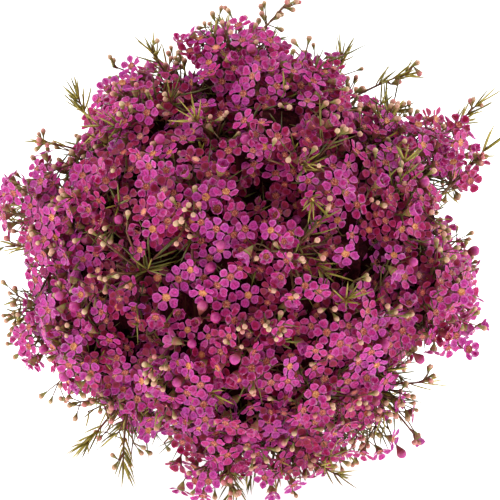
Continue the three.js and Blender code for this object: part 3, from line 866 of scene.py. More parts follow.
def petal_veins(paint):
    """Fine veins that run along the petal and fade at its rim."""
    place = paint.nodes.new("ShaderNodeCombineXYZ")
    paint.feed(place.inputs["X"], paint.math("MULTIPLY", paint.grade("along"), 1.3))
    paint.feed(place.inputs["Y"], paint.math("MULTIPLY", paint.grade("across"), 7.0))
    paint.feed(place.inputs["Z"], paint.grade("tint"))
    return paint.noise(1.6, 1.0, place.outputs["Vector"])


def petal_distance(paint):
    """0 in the middle of a petal's blade and 1 at its rim."""
    along = paint.math("MULTIPLY", paint.math("SUBTRACT", paint.grade("along"), PETAL_WIDEST), 2.3)
    across = paint.math("POWER", paint.grade("across"), 2.0)
    return paint.math("SQRT", paint.math("ADD", paint.math("POWER", along, 2.0), across))


def make_petal(name, paleness):
    """tint runs from magenta to crimson, and past 1 to a near-black red that is painted shade on
    flowers in the gaps.
    """
    paint = Paint(name)
    along, tint = paint.grade("along"), paint.grade("tint")
    body = paint.ramp(
        tint, (0.0, 182, 52, 154), (0.45, 194, 38, 128), (0.75, 182, 24, 92), (1.0, 150, 12, 54)
    )
    claw = paint.ramp(tint, (0.0, 170, 30, 96), (1.0, 120, 10, 44))
    colour = paint.mix(paint.span(along, 0.05, 0.5), claw, body)
    colour = paint.shaded(colour, paint.span(petal_veins(paint), 0.3, 0.7, 0.72, 1.18))
    # The crinkle noise bumps the petal and also darkens and lightens its colour: painted light and
    # shade on the crinkles.
    crinkles = paint.noise(850.0, 3.0)
    colour = paint.shaded(colour, paint.span(crinkles, 0.35, 0.65, 0.62, 1.22))
    # Painted highlight: a lighter rim where the crinkled petal edge catches the light, fading on the
    # darker crimson flowers.
    near_rim = paint.span(petal_distance(paint), 0.6, 0.9, 0.0, 0.46)
    rim_highlight = paint.math("MULTIPLY", near_rim, paint.span(tint, 0.4, 0.9, 1.0, 0.4))
    colour = paint.mix(rim_highlight, colour, srgb(224, 92, 190))
    colour = paint.mix(paleness, colour, srgb(206, 130, 176))
    # Painted shade: past tint 1 the colour darkens towards near-black red, for flowers sunk in the
    # gaps.
    colour = paint.mix(paint.span(tint, 0.9, 1.8, 0.0, 0.85), colour, srgb(92, 6, 34))
    paint.bump(crinkles, 0.6, 0.35)
    paint.finish(colour, paint.span(paint.noise(500.0), 0.3, 0.7, 0.34, 0.5), 0.22, 0.35)


def make_disc():
    """age runs from young orange discs to old red ones."""
    paint = Paint("disc")
    along, age = paint.grade("along"), paint.grade("age")
    young = paint.ramp(
        along, (0.0, 206, 140, 84), (0.3, 228, 146, 84), (0.6, 208, 90, 72), (0.85, 168, 32, 60)
    )
    old = paint.ramp(
        along, (0.0, 150, 52, 44), (0.3, 206, 92, 76), (0.6, 164, 36, 62), (0.85, 108, 8, 40)
    )
    colour = paint.mix(paint.span(age, 0.4, 0.6), young, old)
    grain = paint.noise(1500.0)
    colour = paint.mix(paint.span(grain, 0.54, 0.66, 0.0, 0.6), colour, srgb(250, 212, 146))
    paint.bump(grain, 0.6, 0.3)
    paint.finish(colour, 0.35)


def make_stamen():
    paint = Paint("stamen")
    along, age = paint.grade("along"), paint.grade("age")
    young = paint.ramp(along, (0.0, 196, 60, 60), (0.6, 238, 170, 80), (1.0, 252, 226, 160))
    old = paint.ramp(along, (0.0, 130, 16, 40), (0.6, 190, 60, 70), (1.0, 242, 184, 156))
    colour = paint.mix(paint.span(age, 0.35, 0.75), young, old)
    paint.bump(paint.noise(2500.0), 0.3, 0.1)
    paint.finish(colour, 0.45)


def make_calyx():
    paint = Paint("calyx")
    along, tint = paint.grade("along"), paint.grade("tint")
    green = paint.ramp(along, (0.2, 158, 60, 76), (0.5, 146, 128, 66), (1.0, 120, 128, 58))
    red = paint.ramp(along, (0.2, 150, 40, 70), (1.0, 128, 62, 56))
    paint.bump(paint.noise(1200.0), 0.4, 0.2)
    paint.finish(paint.mix(paint.span(tint, 0.35, 0.8), green, red), 0.5)


def make_bud():
    """tint runs from cream through peach to the magenta of buds about to open."""
    paint = Paint("bud")
    along, tint = paint.grade("along"), paint.grade("tint")
    pale = ((0.0, 214, 184, 146), (0.35, 206, 154, 132), (0.6, 212, 112, 126))
    body = paint.ramp(tint, *pale, (0.8, 188, 54, 146), (1.0, 176, 38, 124))
    low = paint.ramp(tint, (0.0, 170, 156, 84), (1.0, 168, 60, 96))
    colour = paint.mix(paint.span(along, 0.22, 0.42), body, low)
    blush = paint.span(paint.noise(700.0), 0.4, 0.7, 0.0, 0.25)
    colour = paint.mix(blush, colour, srgb(206, 96, 110))
    paint.bump(paint.noise(1100.0, 3.0), 0.5, 0.25)
    paint.finish(colour, 0.4, 0.4, 0.15)


def make_leaf():
    """tint runs from the dark green of the shade to the yellow green of young tips."""
    paint = Paint("leaf")
    along, tint = paint.grade("along"), paint.grade("tint")
    body = paint.ramp(
        tint, (0.0, 70, 70, 24), (0.4, 112, 106, 34), (0.75, 164, 150, 50), (1.0, 208, 192, 96)
    )
    foot = paint.mix(paint.span(along, 0.0, 0.2), srgb(104, 60, 36), body)
    colour = paint.mix(paint.span(along, 0.88, 1.0, 0.0, 0.7), foot, srgb(120, 66, 44))
    colour = paint.shaded(colour, paint.span(paint.noise(420.0, 3.0), 0.3, 0.7, 0.8, 1.15))
    paint.bump(paint.noise(1300.0), 0.3, 0.15)
    paint.finish(colour, 0.42)


def make_twig():
    paint = Paint("twig")
    body = paint.ramp(paint.grade("tint"), (0.0, 112, 96, 50), (0.5, 120, 74, 48), (1.0, 110, 44, 40))
    colour = paint.shaded(body, paint.span(paint.noise(300.0, 4.0), 0.3, 0.7, 0.7, 1.2))
    paint.bump(paint.noise(900.0, 4.0), 0.5, 0.3)
    paint.finish(colour, 0.65)


def make_shade_shell():
    """Painted shade: near-black red and brown streaks that cross like old twigs and needles, for the
    dark inside of the head.
    """
    paint = Paint("shade_shell")
    stretches = ((1.0, 0.1, 1.0), (0.1, 1.0, 1.0), (1.0, 1.0, 0.1))
    first, second, third = (paint.noise(420.0, 2.0, paint.stretched(s)) for s in stretches)
    height = paint.math("MAXIMUM", paint.math("MAXIMUM", first, second), third)
    colour = paint.ramp(
        height, (0.5, 32, 3, 9), (0.62, 54, 6, 18), (0.72, 56, 28, 16), (0.82, 94, 14, 40)
    )
    paint.bump(height, 1.0, 1.5)
    paint.finish(colour, 0.9, 0.05)


def make_bark():
    paint = Paint("bark")
    grain = paint.noise(900.0, 5.0, paint.stretched((1.0, 0.12, 1.0)))
    young = paint.ramp(grain, (0.3, 84, 44, 34), (0.7, 140, 92, 58))
    old = paint.ramp(grain, (0.3, 92, 74, 58), (0.7, 168, 146, 116))
    paint.bump(grain, 0.8, 0.5)
    paint.finish(paint.mix(paint.span(paint.grade("along"), 0.15, 0.75), old, young), 0.8, 0.3)


def make_cut_wood():
    paint = Paint("cut_wood")
    along = paint.grade("along")
    rings = paint.span(paint.math("SINE", paint.math("MULTIPLY", along, 26.0)), -1, 1)
    colour = paint.ramp(rings, (0.0, 196, 178, 122), (1.0, 222, 208, 160))
    colour = paint.mix(paint.span(along, 0.8, 1.0, 0.0, 0.8), colour, srgb(120, 110, 60))
    paint.bump(paint.noise(2200.0, 3.0), 0.5, 0.2)
    paint.finish(colour, 0.75, 0.3)


def make_rubber():
    paint = Paint("rubber")
    colour = paint.ramp(paint.noise(1600.0, 3.0), (0.3, 176, 140, 92), (0.7, 200, 166, 116))
    paint.bump(paint.noise(700.0, 3.0), 0.3, 0.2)
    paint.finish(colour, 0.6, 0.35, 0.05)


def make_floor_paint():
    paint = Paint("floor")
    colour = paint.ramp(paint.noise(3.0), (0.0, 250, 250, 250), (1.0, 252, 252, 252))
    paint.finish(colour, 0.9, 0.1)
    paint.shader.inputs["Emission Color"].default_value = (1, 1, 1, 1)
    paint.shader.inputs["Emission Strength"].default_value = 0.95


make_petal("petal", 0.0)
make_petal("petal_back", 0.25)
for make_paint in (
    make_disc, make_stamen, make_calyx, make_bud, make_leaf, make_twig, make_shade_shell, make_bark,
    make_cut_wood, make_rubber, make_floor_paint,
):
    make_paint()

# ---- Flowers of the head -------------------------------------------------------------------------

rng = np.random.default_rng(7)
FIRST_FILL = CYME_COUNT
FIRST_SPRIG = FIRST_FILL + len(FILLS)
FIRST_LONE = FIRST_SPRIG + len(SPRIGS)


def from_axis(place):
    """The direction straight away from the head's axis at a place."""
    return unit(in_head_frame(place) * [1, 1, 0] @ HEAD_AXES)


def closeness_to_rim(direction):
    return math.exp(-((direction[2] / 0.42) ** 2))


def cyme_middle(cyme):
    """Some cymes stand proud of the others, and at the head's rim they make it ragged."""
    at_rim = closeness_to_rim(cyme.direction)
    lift = rng.uniform(-6, 4) * cyme.outward * (1 - at_rim)
    sideways = cyme.place - sprays[cyme.spray].top
    drop = 4 * (np.linalg.norm(sideways) / SPRAY_HALF_WIDTH) ** 2
    lobes = 0.7 * lobe_rise(cyme.direction) + lobe_rise(cyme.direction, FLOWER_LOBES)
    reach = (cyme.reach + lobes) * at_rim
    return cyme.place + lift + from_axis(cyme.place) * reach - cyme.outward * drop


def cyme_members(cyme):
    """Places and directions of the flowers of one cyme: one in the middle and a ring round it."""
    count = int(rng.choice(list(CYME_SIZES), p=list(CYME_SIZES.values())))
    axes = axes_of(cyme.outward)
    middle = cyme_middle(cyme)
    start = rng.uniform(0, TURN)
    places, outwards = [], []
    for k in range(count):
        in_ring = k > 0
        angle = start + (k + rng.uniform(-0.25, 0.25)) / max(count - 1, 1) * TURN
        radius = rng.uniform(*CYME_RING) if in_ring else rng.uniform(0, 2.5)
        drop = rng.uniform(*CYME_DROP) if in_ring else rng.uniform(-2.5, 1.0)
        spread = spoke(axes, angle)
        places.append(middle + spread * radius - cyme.outward * drop)
        outward = cyme.outward + spread * 0.045 * radius + rng.normal(0, 0.38, 3)
        outward = unit(outward) + 0.2 * CROWNWARD * max(0.0, 1 - abs(outward @ CROWNWARD))
        outwards.append(unit(outward))
    return places, outwards


def deep_count(spray):
    """More flowers show further in at the crown than at the rim and the back."""
    if spray.direction[2] > 0.35:
        return 26
    return 16 if spray.direction[2] > 0 else 11


def deep_members(spray):
    """Flowers further in, which show between those of the surface."""
    axes = axes_of(spray.axis)
    shift = lobe_rise(spray.direction, FLOWER_LOBES) * closeness_to_rim(spray.direction)
    middle = spray.top + from_axis(spray.top) * shift
    places, outwards = [], []
    count = deep_count(spray)
    for k in range(count):
        angle = k * GOLDEN_ANGLE + rng.uniform(-0.3, 0.3)
        radius = DEEP_SPREAD * math.sqrt((k + 0.5) / count)
        spread = spoke(axes, angle)
        depth = rng.uniform(*DEEP_DEPTH) + 5 * (radius / SPRAY_HALF_WIDTH) ** 2
        places.append(middle + spread * radius - spray.axis * depth)
        outwards.append(unit(spray.axis + spread * 0.02 * radius + rng.normal(0, 0.3, 3)))
    return places, outwards


def rim_place(turn, reach, forward):
    """A place at the head's rim, the direction out of the head there and the spray it grows from."""
    across = np.array([math.cos(turn * DEGREE), math.sin(turn * DEGREE), 0])
    place = settled(placed(across * reach + [0, 0, forward]))
    owner = nearest(unit(across + [0, 0, forward / CROWN_HEIGHT]), spray_directions)
    return place, across @ HEAD_AXES, owner


def face_place(across, up):
    """A place on the head's face, the direction out of the head there and its spray."""
    direction = np.array([across / HEAD_RADIUS, up / HEAD_RADIUS, 0.0])
    direction[2] = math.sqrt(1 - direction @ direction)
    owner = nearest(direction, spray_directions)
    return head_surface(direction, rng.uniform(-6, 0)), head_outward(direction), owner


def sprig_members(middle, outward, count):
    """The flowers of a loose sprig, spread round its middle."""
    axes = axes_of(outward)
    start = rng.uniform(0, TURN)
    places, outwards = [], []
    for k in range(count):
        angle = start + k * GOLDEN_ANGLE
        radius = SPRIG_SPREAD * math.sqrt((k + 0.4) / count)
        spread = spoke(axes, angle)
        places.append(middle + spread * radius + outward * rng.uniform(-4, 4))
        outwards.append(unit(outward + 0.03 * radius * spread + rng.normal(0, 0.4, 3)))
    return zip(places, outwards)


def collect_flowers():
    """All flowers as arrays, with the spray and cyme that each belongs to."""
    rows = []
    for number, (across, up, count) in enumerate(FILLS):
        middle, facing, owner = face_place(across, up)
        for place, outward in sprig_members(middle, facing, count):
            rows.append((place, outward, owner, FIRST_FILL + number, False))
    for number, (*where, count) in enumerate(SPRIGS):
        middle, sideways, owner = rim_place(*where)
        facing = unit(sideways * 0.9 + CROWNWARD * 0.8)
        for place, outward in sprig_members(middle, facing, count):
            rows.append((place, outward, owner, FIRST_SPRIG + number, False))
    for number, (*where, _) in enumerate(LONE_BLOOMS):
        place, sideways, owner = rim_place(*where)
        outward = unit(sideways + rng.normal(0, 0.2, 3))
        rows.append((place, outward, owner, FIRST_LONE + number, False))
    for number, cyme in enumerate(cymes):
        for place, outward in zip(*cyme_members(cyme)):
            rows.append((place, outward, cyme.spray, number, False))
    for number, spray in enumerate(sprays):
        for place, outward in zip(*deep_members(spray)):
            rows.append((place, outward, number, -1, True))
    names = ("place", "outward", "spray", "cyme", "deep")
    return SimpleNamespace(**{name: np.array(column) for name, column in zip(names, zip(*rows))})


def pushed_apart(place, outward, across=FLOWER_GAP_ACROSS, above=FLOWER_GAP_ABOVE):
    """Moves flowers that lie in each other until they lie beside or over each other."""
    for _ in range(PUSH_ROUNDS):
        gap = place[None, :, :] - place[:, None, :]
        facing = unit(outward[None, :, :] + outward[:, None, :])
        height = np.sum(gap * facing, axis=2, keepdims=True)
        sideways = gap - height * facing
        measure = np.sum(sideways**2, axis=2) / across**2 + height[..., 0] ** 2 / above**2
        closeness = np.sqrt(measure) + np.eye(len(place)) * 9
        push = np.clip(1 - closeness, 0, 1)[..., None]
        slope = unit(sideways / across**2 + height * facing / above**2)
        aside = np.linalg.norm(sideways, axis=2, keepdims=True)
        reach = np.where(np.abs(height) > 0.6 * aside, above, across)
        place = place - PUSH_SHARE * np.sum(push * slope * reach, axis=1)
    return place


def lifted_clear(place, outward, radius):
    """Flowers that would dip into the floor are lifted until their petals touch it."""
    droop = radius * np.sqrt(np.clip(1 - outward[:, 2] ** 2, 0, 1)) + 0.4
    lowest = place[:, 2] - droop
    place = place.copy()
    place[:, 2] += np.clip(FLOOR - lowest, 0, None)
    return place


flowers = collect_flowers()
valleys_at_flowers = valley_depth(flowers.place)
kept_share = np.where(flowers.deep, DEEP_KEPT_IN_GAPS, KEPT_IN_GAPS)
stands = (valleys_at_flowers < GAP_DEPTH) | (rng.uniform(size=len(kept_share)) < kept_share)
flowers = SimpleNamespace(**{name: values[stands] for name, values in vars(flowers).items()})
flowers.gap = valleys_at_flowers[stands]
flowers.place = flowers.place - flowers.gap[:, None] * CROWNWARD
flowers.place = pushed_apart(flowers.place, flowers.outward)
flowers.place = lifted_clear(flowers.place, flowers.outward, FLOWER_REACH)
flower_count = len(flowers.place)
kinds = rng.choice(list(KIND_SHARES), size=flower_count, p=list(KIND_SHARES.values()))
flowers.kind = np.where(flowers.deep, "deep", kinds)
flowers.twist = rng.uniform(0, TURN, flower_count)
flowers.scale = rng.uniform(*FLOWER_SCALES, flower_count)
flowers.age = np.where(rng.uniform(size=flower_count) < YOUNG_SHARE, 0.0, 1.0)
cyme_tint = rng.normal(0, CYME_TINT_SPREAD, FIRST_LONE + len(LONE_BLOOMS) + 1)
flowers.in_head = in_head_frame(flowers.place)
at_crown = np.clip((flowers.in_head[:, 2] - 30) / 40, 0, 1)
# Older flowers are more crimson. Flowers further in, and more so at the crown, are pushed towards
# crimson too: painted shade of the depth.
flowers.tint = 0.14 + 0.05 * at_crown + 0.26 * flowers.age + (0.2 + 0.2 * at_crown) * flowers.deep
flowers.tint += cyme_tint[flowers.cyme] + rng.normal(0, FLOWER_TINT_SPREAD, flower_count)
# Flowers sunk in the gaps, and deep ones at the crown, are pushed past tint 1: painted shade of the
# gaps.
painted_gap_shade = np.clip((flowers.gap - 6) / 18, 0, 0.8) + 0.25 * at_crown * flowers.deep
flowers.tint = np.clip(flowers.tint, 0, 1) + painted_gap_shade


def front_flower_at(place):
    """The flower of the head's front that stands nearest to a place across its face."""
    distance = np.linalg.norm(flowers.in_head[:, :2] - np.array(place), axis=1)
    hidden = flowers.deep | (flowers.in_head[:, 2] < -30)
    return int(np.argmin(distance + 1000 * hidden))


for number, lone_bloom in enumerate(LONE_BLOOMS):
    flowers.kind[flowers.cyme == FIRST_LONE + number] = lone_bloom[3]

for cup_place in CUP_PLACES:
    cup_flower = front_flower_at(cup_place)
    flowers.kind[cup_flower] = "cup"
    flowers.scale[cup_flower] = CUP_SCALE
    flowers.tint[cup_flower] = CUP_TINT
    flowers.place[cup_flower] += CUP_LIFT * flowers.outward[cup_flower]


def stamp_flowers(growth, number):
    """Stamps a spray's flowers, dealing out each kind's shapes among them."""
    for kind, shapes in FLOWER_SHAPES.items():
        chosen = np.flatnonzero((flowers.spray == number) & (flowers.kind == kind))
        for k, shape in enumerate(shapes):
            mine = chosen[k :: len(shapes)]
            if len(mine):
                tint = rng.uniform(*BALL_TINTS, len(mine)) if kind == "ball" else flowers.tint[mine]
                growth.stamp(
                    shape, flowers.place[mine], flowers.outward[mine], flowers.twist[mine],
                    flowers.scale[mine], tint, flowers.age[mine],
                )


# ---- Twigs, needles and small buds ---------------------------------------------------------------


def stalk_radii(count, steps, start, end):
    return np.tile(np.linspace(start, end, steps), (count, 1))


def grow_pedicels(growth, root, chosen, radius=PEDICEL_RADIUS, steps=4):
    """Curved stalks from one root to the feet of the chosen flowers."""
    feet = np.where(flowers.kind[chosen] == "ball", BALL_BUD_FOOT, CALYX_LENGTH)
    sunk = (feet * flowers.scale[chosen] - STALK_OVERLAP)[:, None]
    tips = flowers.place[chosen] - flowers.outward[chosen] * sunk
    grow_stalks(growth, root, tips, flowers.outward[chosen], radius, steps)


def grow_stalks(growth, root, tips, arrivals, radius, steps):
    """Curved stalks from one root, which arrive at the tips in the given directions."""
    roots = np.repeat(root[None], len(tips), 0)
    reach = np.linalg.norm(tips - roots, axis=1, keepdims=True)
    paths = bezier(roots, tips - arrivals * 0.45 * reach, tips, steps)
    radii = stalk_radii(len(tips), steps, radius * 1.25, radius)
    growth.tubes(paths, radii, 3, "twig", rng.uniform(0, 0.7, len(tips)))


def grow_twig(growth, path, start, end, sides, tints):
    """A twig along one curve, which tapers from one radius to another."""
    radii = stalk_radii(1, path.shape[1], start, end)
    growth.tubes(path, radii, sides, "twig", rng.uniform(*tints, 1))


def grow_cyme_twigs(twigs, number):
    """The spray's main twig, a twig to each cyme and a stalk to each flower."""
    spray = sprays[number]
    trunk = bezier(spray.base, (spray.base + spray.heart) / 2, spray.heart + spray.axis * 4, 5)
    twigs.tubes(trunk, np.array([[1.5, 1.45, 1.35, 1.2, 0.9]]), 7, "twig", np.array([0.8]))
    for index, cyme in enumerate(cymes):
        if cyme.spray != number:
            continue
        fork = cyme.place - cyme.outward * CYME_FORK_DEPTH
        root = spray.heart - spray.axis * rng.uniform(0, 12)
        bend = (root + fork) / 2 + spray.axis * 3
        grow_twig(twigs, bezier(root, bend, fork, 5), 1.0, TWIG_RADIUS, 5, (0.4, 1.0))
        grow_pedicels(twigs, fork, np.flatnonzero(flowers.cyme == index))
    grow_sprig_twigs(twigs, number)
    deep = np.flatnonzero((flowers.spray == number) & flowers.deep)
    grow_pedicels(twigs, spray.heart - spray.axis * 8, deep, 0.5, steps=3)


def grow_sprig_twigs(twigs, number):
    """The twigs of the loose sprigs and lone blooms that grow from a spray."""
    spray = sprays[number]
    for index in range(FIRST_FILL, FIRST_LONE + len(LONE_BLOOMS)):
        mine = np.flatnonzero((flowers.cyme == index) & (flowers.spray == number))
        if len(mine) == 0:
            continue
        middle = flowers.place[mine].mean(axis=0)
        away = unit(middle - spray.heart)
        fork = middle - away * (14 if index < FIRST_LONE else 26)
        bend = (spray.heart + fork) / 2 + spray.axis * 4
        grow_twig(twigs, bezier(spray.heart, bend, fork, 6), 1.0, 0.6, 5, (0.3, 1.0))
        grow_pedicels(twigs, fork, mine)


def needle_paths(roots, along, sideways, lengths, lean, curl, steps):
    """Curved needles that leave their roots sideways and bend back along the twig."""
    first = unit(sideways + along * lean[:, None])
    tips = roots + first * lengths[:, None] + along * (curl * lengths)[:, None]
    bends = roots + first * (0.5 * lengths)[:, None]
    return bezier(roots, bends, tips, steps)


# Lengths of needles in mm, from the shortest to the longest.
INNER_NEEDLES = (14, 23)
TANGLE_NEEDLES = (7, 14)
SURFACE_NEEDLES = (8, 14)
TIP_NEEDLES = (9, 17)
SHOOT_NEEDLES = (8, 15)
BRANCH_NEEDLES = (15, 24)

TANGLE_NEEDLE_COUNT = 58
NEEDLE_CLEARANCE = 0.8  # needles that come closer to the floor are left out
NEEDLES_FOR_ONE = 3  # of the part's larger needles on a rim shoot

# Widths of a needle from its foot to its tip, as shares of its widest.
NEEDLE_PROFILE = np.array([0.7, 1.0, 1.0, 0.75, 0.12])
PLAIN_NEEDLE_PROFILE = np.array([0.8, 1.1, 0.12])


def grow_needles(growth, roots, along, lengths, tints, lean=(0.5, 1.4), profile=NEEDLE_PROFILE):
    """A needle at each root, turned at random round the twig it grows from."""
    count = len(roots)
    if count == 0:
        return
    sideways = unit(np.cross(along, rng.normal(0, 1, (count, 3))))
    lean_each = rng.uniform(*lean, count)
    curl = rng.uniform(0.0, 0.35, count)
    paths = needle_paths(roots, along, sideways, lengths, lean_each, curl, len(profile))
    clear = paths[:, :, 2].min(axis=1) > FLOOR + NEEDLE_CLEARANCE
    widths = NEEDLE_HALF_WIDTH * rng.uniform(0.8, 1.15, count)
    radii = widths[:, None] * profile[None, :]
    growth.tubes(paths[clear], radii[clear], 3, "leaf", tints[clear])


def grow_leafy_twig(growth, start, tip, needles, lengths, tints, radius=0.6):
    """A thin twig with needles crowded towards its end."""
    bend = (start + tip) / 2 + rng.normal(0, 2.5, 3)
    path = bezier(start, bend, tip, 6)
    grow_twig(growth, path, radius, 0.4, 5, (0.2, 1.0))
    shares = np.sort(1 - 0.7 * rng.uniform(0, 1, needles) ** 1.5)
    places = points_on(path[0], shares)
    along = np.repeat(unit(path[0, -1] - path[0, -3])[None], needles, 0)
    grow_needles(growth, places, along, rng.uniform(*lengths, needles), rng.uniform(*tints, needles))


def grow_inner_twig(growth, start, tip, needles):
    """A leafy twig in the shade of the head, with plainer needles along all of it."""
    bend = (start + tip) / 2 + rng.normal(0, 2.0, 3)
    path = bezier(start, bend, tip, 3)
    path[..., 2] = np.maximum(path[..., 2], FLOOR + 3)
    grow_twig(growth, path, 0.6, 0.4, 3, (0.2, 1.0))
    shares = (np.arange(needles) + rng.uniform(0, 1, needles)) / needles
    places = points_on(path[0], shares)
    along = np.repeat(unit(tip - start)[None], needles, 0)
    lengths, tints = rng.uniform(*INNER_NEEDLES, needles), rng.uniform(0.0, 0.5, needles)
    grow_needles(growth, places, along, lengths, tints, (0.3, 1.6), PLAIN_NEEDLE_PROFILE)


# The dark shell's depths under the spray's top and its radii there.
SHADE_SHELL_PROFILE = [
    (49, 1.2), (44, 5), (40, 13), (37, 22), (35, 31), (32, 36), (28, 33), (24, 24), (21, 14), (19, 5)
]


def grow_core(twigs, number):
    """A closed dark shell in the middle of a spray, painted near-black to stand for the shade inside
    the head, with needles on it.
    """
    spray = sprays[number]
    shape = Shape()
    sides = 22
    at_rim = 1 - min(1.0, max(0.0, (spray.direction[2] - 0.25) / 0.6))
    at_crown = max(0.0, spray.direction[2] - 0.5) / 0.5
    breadth = 1 + 0.2 * at_crown - 0.5 * at_rim
    rings = []
    for level, (depth, radius) in enumerate(SHADE_SHELL_PROFILE):
        ring = []
        for i in range(sides):
            angle = i / sides * TURN
            rough = radius * rng.uniform(0.88, 1.12) * breadth
            height = -depth + rng.uniform(-4, 4) - 12 * at_rim * (radius > 20)
            position = (rough * math.cos(angle), rough * math.sin(angle), height)
            ring.append(shape.point(position, level / len(SHADE_SHELL_PROFILE), i / sides))
        rings.append(ring)
    for low, high in zip(rings, rings[1:]):
        shape.band(low, high, "shade_shell")
    shape.face(rings[0][::-1], "shade_shell")
    shape.face(rings[-1], "shade_shell")
    arrays = shape.arrays()
    points = spray.top + arrays.points @ axes_of(spray.axis).T
    points = points - valley_depth(points)[:, None] * CROWNWARD
    points[:, 2] = np.maximum(points[:, 2], FLOOR + 2)
    grades = np.zeros((len(points), 4))
    twigs.add(points, arrays.loops, arrays.sizes, arrays.materials, grades, arrays.rim)
    outer_points = np.arange(4 * sides, len(points))
    roots = points[rng.choice(outer_points, TANGLE_NEEDLE_COUNT, replace=False)]
    along = unit(spray.axis + rng.normal(0, 0.6, (len(roots), 3)))
    lengths = rng.uniform(*TANGLE_NEEDLES, len(roots))
    tints = rng.uniform(0.0, 0.5, len(roots))
    grow_needles(twigs, roots, along, lengths, tints, (0.3, 2.5), PLAIN_NEEDLE_PROFILE)


def grow_foliage(twigs, number):
    """Leafy twigs that end at the surface between the flowers, and dense ones further in."""
    spray = sprays[number]
    axes = axes_of(spray.axis)
    for _ in range(1 if spray.direction[2] > 0.6 else 4):
        angle, radius = rng.uniform(0, TURN), rng.uniform(8, 27)
        spread = spoke(axes, angle)
        start = spray.heart - spray.axis * rng.uniform(0, 14)
        tip = spray.top + spread * radius - spray.axis * rng.uniform(3, 15)
        tip[2] = max(tip[2], FLOOR + 5)
        tints = (0.1, 0.8) if spray.direction[2] > 0.4 else (0.4, 1.0)
        grow_leafy_twig(twigs, start, tip, int(rng.integers(6, 10)), SURFACE_NEEDLES, tints)
    for place in LEAFY_PLACES:
        nearest_flower = front_flower_at(place)
        if flowers.spray[nearest_flower] == number:
            tip = flowers.place[nearest_flower] + flowers.outward[nearest_flower] * 3
            grow_leafy_twig(twigs, spray.heart, tip, 14, TIP_NEEDLES, (0.45, 1.0), 0.7)
    inner = 4 if spray.direction[2] > 0.4 else 8
    for k in range(inner):
        share = (k + 0.5) / inner
        angle = k * GOLDEN_ANGLE + rng.uniform(-0.3, 0.3)
        spread = spoke(axes, angle)
        start = spray.base + spray.axis * (4 + 26 * share)
        tip = start + spread * rng.uniform(14, 26) + spray.axis * rng.uniform(2, 12)
        grow_inner_twig(twigs, start, tip, 10)


def grow_bud_cluster(blooms, twigs, root, middle, outward, count, tints, reach=(6, 14)):
    """Small buds on forked stalks."""
    scatter = rng.normal(0, 0.85, (count, 3))
    directions = unit(outward[None] + scatter)
    places = middle + directions * rng.uniform(*reach, count)[:, None]
    places[:, 2] = np.maximum(places[:, 2], FLOOR + 2.2)
    scales = rng.uniform(0.8, 1.15, count)
    twist, tint = rng.uniform(0, TURN, count), rng.uniform(*tints, count)
    blooms.stamp(SMALL_BUD, places, directions, twist, scales, tint, np.zeros(count))
    path = bezier(root, (root + middle) / 2 + outward * 2, middle, 5)
    grow_twig(twigs, path, 0.8, 0.5, 5, (0.2, 0.9))
    tips = places - directions * (SMALL_BUD_FOOT * scales - STALK_OVERLAP)[:, None]
    grow_stalks(twigs, middle, tips, directions, 0.34, 3)


def grow_buds(blooms, twigs, number):
    """Clusters of small buds between a spray's flowers."""
    spray = sprays[number]
    axes = axes_of(spray.axis)
    for _ in range(6 if spray.direction[2] > 0.5 else 8):
        angle, radius = rng.uniform(0, TURN), rng.uniform(4, 27)
        spread = spoke(axes, angle)
        middle = spray.top + spread * radius - spray.axis * (rng.uniform(4, 11) + radius * 0.12)
        outward = unit(spray.axis + spread * 0.02 * radius)
        count = int(rng.integers(1, 5))
        grow_bud_cluster(blooms, twigs, spray.heart, middle, outward, count, (0.0, 0.5))


def grow_rim_shoot(blooms, twigs, shoot):
    """A shoot with needles and stalked buds that stands out past the head's rim."""
    turn, reach, forward, needles, buds = shoot
    tip, _, owner = rim_place(turn, reach - BUD_REACH, forward)
    spray = sprays[owner]
    start = spray.top - spray.axis * 0.6 * SPRAY_DEPTH
    bend = (start + tip) / 2 + spray.axis * 6
    path = bezier(start, bend, tip, 9)
    grow_twig(twigs, path, 0.95, 0.45, 6, (0.3, 1.0))
    end_direction = unit(path[0, -1] - path[0, -3])
    count = needles * NEEDLES_FOR_ONE
    shares = 1 - 0.42 * rng.uniform(0, 1, count) ** 1.3
    places = points_on(path[0], shares)
    along = np.repeat(end_direction[None], count, 0)
    lengths, tints = rng.uniform(*SHOOT_NEEDLES, count), rng.uniform(0.45, 1.0, count)
    grow_needles(twigs, places, along, lengths, tints, (0.7, 3.2))
    for _ in range(buds):
        root = points_on(path[0], rng.uniform(0.7, 1.0))
        side = unit(end_direction + rng.normal(0, 0.45, 3))
        middle = root + side * rng.uniform(3, 6)
        middle[2] = max(middle[2], FLOOR + 3)
        count = int(rng.integers(1, 4))
        grow_bud_cluster(blooms, twigs, root, middle, side, count, (0.1, 0.6), (3, 7))


def grow_spray(number):
    """A spray as two pieces: its flowers and buds, and its twigs and needles."""
    spray = sprays[number]
    blooms = Growth(spray.node + "_blooms")
    twigs = Growth(spray.node + "_twigs")
    stamp_flowers(blooms, number)
    grow_cyme_twigs(twigs, number)
    grow_core(twigs, number)
    grow_foliage(twigs, number)
    grow_buds(blooms, twigs, number)
    for shoot in RIM_SHOOTS:
        if rim_place(*shoot[:3])[2] == number:
            grow_rim_shoot(blooms, twigs, shoot)
    blooms.piece(spray.node, slot="petals")
    twigs.piece(spray.node, slot="bark")


# ---- Stems and the tie ---------------------------------------------------------------------------


def between(t, start, end, first, second):
    """The point at t on a line that is at the first point at start and at the second at end."""
    share = (t - start) / (end - start)
    return first * (1 - share) + second * share


